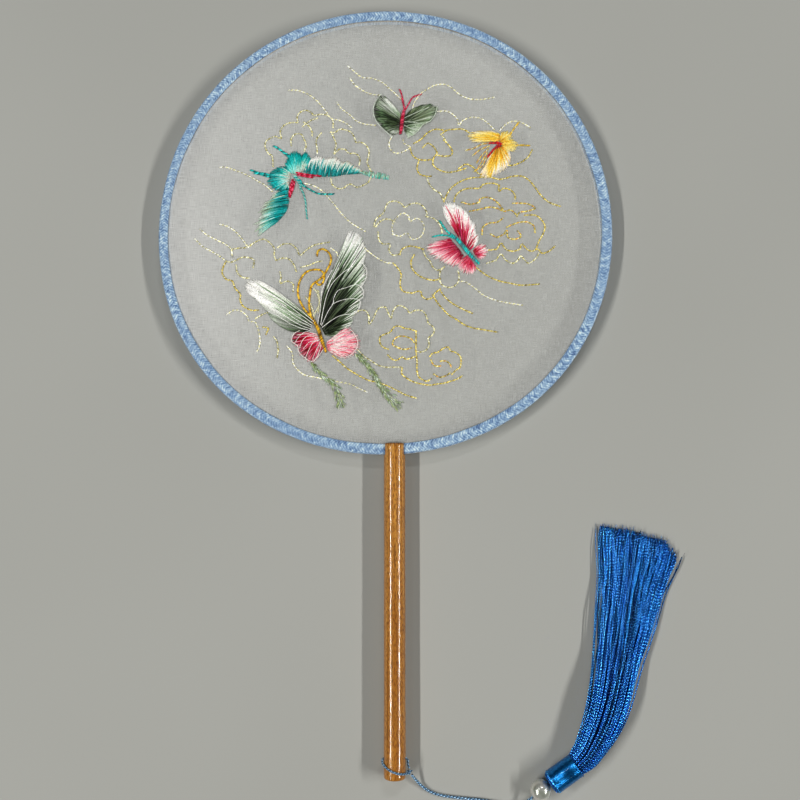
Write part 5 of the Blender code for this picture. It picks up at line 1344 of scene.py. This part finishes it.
# Clouds and streamers: each run with its order of dyes
paleGold = ["champagne", "champagneLight", "champagne", "champagneLight", "champagneDark"]
lightGold = ["champagneLight", "white", "champagne"]
warmGold = ["old", "oldLight", "old", "oldLight", "oldDark"]
rustyGold = ["old", "oldLight", "old", "orange", "oldLight", "oldDark"]
clouds = {
    "cloudsNorthWest": {
        "nodes": ["cloud_a_scallops", "cloud_a_right_scallops", "cloud_a_streamer"],
        "runs": [
            (paleGold, [(273, 166), (272, 156), (268, 153), (265, 146), (266, 141), (270, 138), (275, 136),
              None, (281, 138), (280, 132), (283, 126), (288, 123), (294, 122), None, (298, 122),
              (297, 118), (299, 113), (305, 110), (311, 112), None, (314, 115), (321, 114), (327, 115),
              (331, 118), (333, 121), (333, 127)]),
            (paleGold, [(331, 132), (335, 132), (340, 129), (347, 130), (352, 133), (355, 139), None,
              (356, 142), (361, 142), (366, 145), (369, 151), (368, 158), (367, 162), (369, 167),
              (371, 171)]), (paleGold, [(317, 118), (311, 120), (305, 124), (303, 126)]),
            (paleGold, [(304, 122), (309, 126), (312, 132), (312, 135)]),
            (paleGold, [(331, 132), (334, 138), (336, 144), (335, 149), (334, 153)]),
            (paleGold, [(321, 133), (317, 138), (316, 143), (317, 148), (317, 153)]),
            (paleGold, [(291, 145), (291, 139), (295, 134), (301, 134), (304, 139), (306, 145),
              (304, 151)]),
            (paleGold, [(335, 153), (339, 149), (345, 149), None, (349, 153), (354, 153), (358, 155),
              (360, 160), (359, 165)]),
            (paleGold, [(331, 179), (332, 184), (337, 188), (343, 188), (347, 185), None, (351, 184),
              (357, 187), (363, 185), (368, 182), (371, 177)]),
            (lightGold, [(289, 90), (297, 90), (306, 93), (314, 98), (321, 105), (327, 113), (331, 118),
              (339, 120), (346, 123), (351, 127)]),
            (lightGold, [(337, 102), (341, 108), (349, 114), (357, 121), (366, 124), (375, 125)]),
            (lightGold, [(220, 167), (226, 167), (235, 170), (243, 173), (251, 177), (258, 181), (265, 185),
              (272, 191)]),
            (lightGold, [(304, 183), (312, 185), (320, 189), (327, 196), (334, 204), (341, 213), (350, 222),
              (358, 227), (365, 231)])],
    },
    "cloudsNorth": {
        "nodes": ["cloud_b_streamer_left", "cloud_b_streamer_right", "cloud_b_scallops",
        "cloud_b_low_scallops"],
        "runs": [
            (lightGold, [(348, 66), (354, 71), (362, 77), (372, 78), (382, 82), (389, 88), (396, 94),
              (401, 99)]), (lightGold, [(350, 78), (355, 85), (364, 91), (372, 94), (381, 95)]),
            (lightGold, [(412, 112), (414, 103), (420, 94), (427, 89), (435, 85), (444, 84), (451, 87),
              (458, 93), (465, 97), (473, 99), (483, 99), (494, 97)]),
            (lightGold, [(438, 111), (447, 111), (454, 115), (458, 120), None, (459, 125), (463, 120),
              (472, 117), (480, 118), (487, 122), (494, 129)]),
            (lightGold, [(500, 130), (506, 124), (513, 121), (521, 122), (530, 127)]),
            (lightGold, [(392, 136), (389, 143), (391, 150), (397, 153), (404, 151), (410, 147), (404, 143),
              (403, 139)]), (warmGold, [(410, 147), (412, 154), (416, 158), (424, 160), (433, 159)]),
            (warmGold, [(419, 160), (417, 168), (420, 174), (427, 176), (431, 176)]),
            (paleGold, [(427, 178), (430, 185), (435, 190), (440, 193), (443, 199)]),
            (warmGold, [(414, 143), (421, 139), (427, 133), (435, 129), (444, 130)]),
            (warmGold, [(441, 134), (447, 130), (455, 129), (463, 129), (470, 133)]),
            (warmGold, [(444, 140), (448, 144), (452, 150), (451, 155), (444, 156), (438, 155)]),
            (warmGold, [(423, 147), (428, 143), (434, 147), (437, 153), (434, 157), (433, 164), (438, 169),
              (447, 172), (456, 171), (466, 168)]),
            (warmGold, [(459, 168), (466, 164), (473, 167), (477, 172), (480, 174)]),
            (paleGold, [(441, 134), (444, 138), (448, 144)]),
            (warmGold, [(532, 150), (528, 157), (521, 162), (513, 165), (508, 165)])],
    },
    "cloudsMiddle": {
        "nodes": ["cloud_c_scallops", "cloud_f_scallops", "cloud_f_streamer"],
        "runs": [
            (paleGold, [(374, 226), (376, 219), (383, 213), (386, 206), (389, 202), (396, 201), (402, 204),
              None, (405, 207), (410, 204), (417, 203), (423, 206), (427, 213), (426, 216), (433, 218),
              (438, 222), (441, 227), (442, 232)]),
            (lightGold, [(393, 234), (392, 226), (396, 218), (403, 213), (409, 216), None, (410, 221),
              (417, 218), (423, 223), (424, 230), (420, 237), (412, 239), (407, 233), (400, 236),
              (393, 234)]), (paleGold, [(376, 226), (382, 220), (389, 219), (395, 222)]),
            (paleGold, [(378, 232), (379, 240), (383, 244), None, (390, 244), (389, 250), (393, 255),
              (400, 254)]), (warmGold, [(400, 254), (402, 249), (409, 246), (417, 247), (423, 249)]),
            (warmGold, [(393, 263), (397, 267), (401, 274), (400, 284), (403, 291), (412, 293), None,
              (420, 291), (422, 296), (427, 299), (433, 297), (435, 293), (440, 289)]),
            (warmGold, [(414, 255), (411, 261), (412, 268), (417, 274), (424, 278), (433, 280),
              (440, 279)]),
            (paleGold, [(423, 250), (426, 257), (430, 261), (433, 267), (438, 270), (444, 267)]),
            (paleGold, [(444, 267), (440, 272), (440, 281), (444, 286), (452, 287), (458, 282), (459, 275),
              (458, 271)]), (lightGold, [(363, 246), (368, 251), (376, 257), (385, 262), (393, 263)]),
            (warmGold, [(476, 267), (482, 272), (490, 277), (500, 281), (510, 283), (521, 285),
              (539, 284)]),
            (lightGold, [(459, 281), (466, 282), (475, 288), (482, 294), (490, 298), (499, 301), (510, 303),
              (522, 305)]),
            (warmGold, [(440, 290), (445, 297), (452, 303), (459, 307), (465, 310), (472, 313)]),
            (warmGold, [(433, 295), (437, 302), (443, 309), (449, 315), (456, 319), (465, 325), (474, 328),
              (480, 329), (497, 332)])],
    },
    "cloudsEast": {
        "nodes": ["cloud_c_streamer"],
        "runs": [
            (warmGold, [(444, 201), (447, 194), (452, 187), (461, 181), (470, 178), (480, 177), (490, 177),
              (499, 179), (506, 178), (513, 176), (522, 176), (529, 180), (535, 187), (541, 195),
              (549, 202), (560, 206)]),
            (warmGold, [(454, 201), (456, 195), (462, 190), (470, 188), (479, 188), (484, 184), (493, 183),
              (499, 185), None, (499, 191), (504, 188), (511, 190), (515, 195), (515, 199)]),
            (rustyGold, [(462, 202), (470, 204), (479, 202), (480, 199), (486, 197), (493, 199), (499, 204),
              (504, 211)]),
            (rustyGold, [(470, 211), (480, 209), (489, 207), (497, 208), (504, 211), (511, 210),
              (517, 215)]),
            (rustyGold, [(513, 203), (522, 203), (529, 204), (535, 208), (527, 211), (520, 212),
              (517, 216)]),
            (warmGold, [(525, 215), (535, 215), (541, 219), (545, 226), (543, 234), (539, 241),
              (536, 249)]), (rustyGold, [(482, 234), (483, 227), (489, 223), (497, 222), (503, 218)]),
            (rustyGold, [(507, 227), (511, 225), (520, 222), (528, 222), (534, 226), (535, 232)]),
            (rustyGold, [(491, 234), (497, 237), (504, 234), None, (507, 230), (508, 237), (515, 239),
              (521, 236), (518, 231)]),
            (warmGold, [(489, 250), (497, 249), None, (501, 243), (506, 249), (513, 251), (520, 249), None,
              (522, 244), (527, 249), (532, 251), (538, 249), (542, 253), (549, 251), (555, 246)]),
            (paleGold, [(487, 263), (496, 260), None, (501, 254), (506, 260), (513, 263), (518, 260), None,
              (521, 256), (525, 260), (529, 263), (536, 258), (539, 253)])],
    },
    "cloudsWest": {
        "nodes": ["cloud_d_scallops", "cloud_d_low_scallops"],
        "runs": [
            (paleGold, [(232, 249), (238, 248), (247, 247), (255, 242), (263, 239), (269, 242), (274, 248),
              (274, 255)]),
            (paleGold, [(278, 247), (283, 244), (291, 244), (297, 249), None, (300, 255), (306, 250),
              (314, 245), (323, 243), (329, 242)]),
            (lightGold, [(331, 248), (337, 253), (338, 259), (338, 262)]),
            (paleGold, [(301, 267), (309, 265), (316, 262), (322, 261)]),
            (paleGold, [(226, 261), (231, 262), (236, 260), (243, 257), (251, 258), (254, 261),
              (253, 267)]),
            (warmGold, [(226, 261), (223, 267), (222, 273), (226, 279), (232, 281), (235, 288), (240, 294),
              (240, 300), (243, 306), (251, 310), (258, 310)]),
            (paleGold, [(236, 265), (237, 272), (242, 277), (249, 278)]),
            (paleGold, [(274, 255), (276, 260), (282, 258), (289, 259), (294, 265), (296, 271)]),
            (paleGold, [(280, 272), (281, 277), None, (280, 283), (287, 281), (293, 284), (293, 291)]),
            (lightGold, [(227, 314), (234, 310), (241, 311), (247, 316), (249, 321), (255, 322), (258, 329),
              (260, 339), (259, 347), (257, 351)]), (paleGold, [(256, 318), (263, 314), (269, 312)]),
            (warmGold, [(263, 327), (268, 328), (266, 334)]),
            (paleGold, [(274, 337), (277, 342), (278, 350), (277, 357)]),
            (lightGold, [(287, 346), (292, 353), (293, 363), (298, 370), (305, 375), (315, 377), (324, 379),
              (334, 381), (350, 384), (358, 388), (367, 392)]),
            (lightGold, [(200, 229), (207, 235), (217, 240), (225, 244), (231, 249), (232, 257)]),
            (lightGold, [(195, 239), (202, 246), (209, 250), (218, 255), (226, 261)]),
            (lightGold, [(220, 224), (229, 227), (238, 234), (248, 247)])],
    },
    "cloudsSouth": {
        "nodes": ["cloud_e_scallops", "cloud_e_curl"],
        "runs": [
            (paleGold, [(353, 315), (358, 311), (363, 310), (367, 312), (369, 317), None, (369, 324),
              (373, 319), (376, 312), (379, 308), (385, 307), (387, 310), None, (391, 318), (393, 311),
              (397, 306), (402, 306), (407, 309), None, (410, 313), (413, 311), (419, 310), (424, 312),
              (427, 318), (428, 323), None, (434, 328), (433, 334), (428, 338), None, (429, 345),
              (426, 350), (420, 352), (417, 351)]),
            (warmGold, [(416, 331), (410, 329), (404, 328), (399, 326), (394, 327), (390, 332), (385, 334),
              (380, 337), (380, 343), (383, 347), (388, 349)]),
            (rustyGold, [(414, 342), (410, 338), (403, 336), (397, 337), (393, 341), (393, 345), (397, 347),
              (402, 349), (407, 349), (411, 348)]),
            (warmGold, [(388, 355), (392, 359), (397, 360), (402, 357), (406, 359), (411, 358),
              (416, 356)]),
            (warmGold, [(416, 331), (416, 340), (416, 351), (417, 361), (417, 370), (419, 377), (426, 381),
              (431, 379)]),
            (warmGold, [(430, 356), (433, 353), (438, 352), (444, 348), (448, 347), (451, 351), (455, 352),
              (460, 356), (461, 361), (460, 367), (456, 370), (452, 374)]),
            (rustyGold, [(431, 360), (433, 364), (436, 366), (440, 366)]),
            (rustyGold, [(441, 361), (446, 361), (450, 364), (451, 367)]),
            (rustyGold, [(434, 374), (439, 377), (445, 376), (450, 373)]),
            (warmGold, [(402, 368), (402, 374), (408, 379), (414, 382), (422, 384), (430, 385), (437, 384),
              (444, 383), (451, 381), (457, 379), (462, 376)]),
            (paleGold, [(358, 350), (364, 356), (370, 360), (378, 365), (386, 367), (394, 367),
              (400, 367)]),
            (warmGold, [(333, 356), (340, 362), (348, 369), (358, 375), (368, 380), (380, 383), (390, 387),
              (398, 391), (406, 395), (416, 398)])],
    },
}
stitchAll(clouds, 700, sewCloud)
print("clouds stitched")

# Table, light and finish
table = {"reach": 3, "roughness": 0.75, "dark": "a6a7a3", "pale": "abaca8"}
warmWhite, coolWhite = (1.0, 0.985, 0.95), (0.98, 0.99, 1.0)
lights = {
    "stripLeft": {"place": (-1.67, -0.625, 1.875), "size": (0.068, 1.95), "power": 40.4, "aim": (0, -0.1, 0),
                  "colour": warmWhite},
    "stripRight": {"place": (1.96, -0.33, 1.5), "size": (0.075, 1.65), "power": 34.2, "aim": (0, 0, 0),
                   "colour": warmWhite},
    "stripTop": {"place": (0.30, 1.20, 1.45), "size": (0.5, 0.09), "power": 3.9, "aim": (0, 0.05, 0),
                 "colour": coolWhite},
    "panelLeft": {"place": (-0.60, 0.42, 1.3), "size": (0.25, 0.35), "power": 0.9, "aim": (0, 0.05, 0),
                  "colour": coolWhite},
}
room = {"colour": (0.93, 0.96, 1.0, 1), "strength": 0.01}


def makeTable(c):
    r = c["reach"]
    mesh = bpy.data.meshes.new("tableTop")
    mesh.from_pydata([(-r, -r, 0), (r, -r, 0), (r, r, 0), (-r, r, 0)], [], [(0, 1, 2, 3)])
    g = Graph("matteTable", {"Roughness": c["roughness"]})
    mesh.materials.append(g.finish({"Base Color": g.ramp(g.noise(3.0), (0.3, c["dark"]), (0.7, c["pale"]))}))
    addObject("tableTop", mesh)


def makeLight(name, c):
    data = bpy.data.lights.new(name, 'AREA')
    data.shape = 'RECTANGLE'
    data.size, data.size_y = c["size"]
    data.energy, data.color = c["power"], c["colour"]
    ob = addObject(name, data)
    ob.location = c["place"]
    back = (Vector(c["place"]) - Vector(c["aim"])).normalized()
    along = (Vector((0, 1, 0)) - back * back.y).normalized()
    ob.rotation_euler = Matrix([along.cross(back), along, back]).transposed().to_euler()


def makeRoom(c):
    world = bpy.data.worlds.new("room")
    world.use_nodes = True
    background = world.node_tree.nodes["Background"].inputs
    background["Color"].default_value, background["Strength"].default_value = c["colour"], c["strength"]
    bpy.context.scene.world = world
    bpy.context.scene.view_settings.view_transform = 'Standard'
    bpy.context.scene.view_settings.look = 'Medium High Contrast'


makeTable(table)
for name, light in lights.items():
    makeLight(name, light)
makeRoom(room)
print("table and lights made")
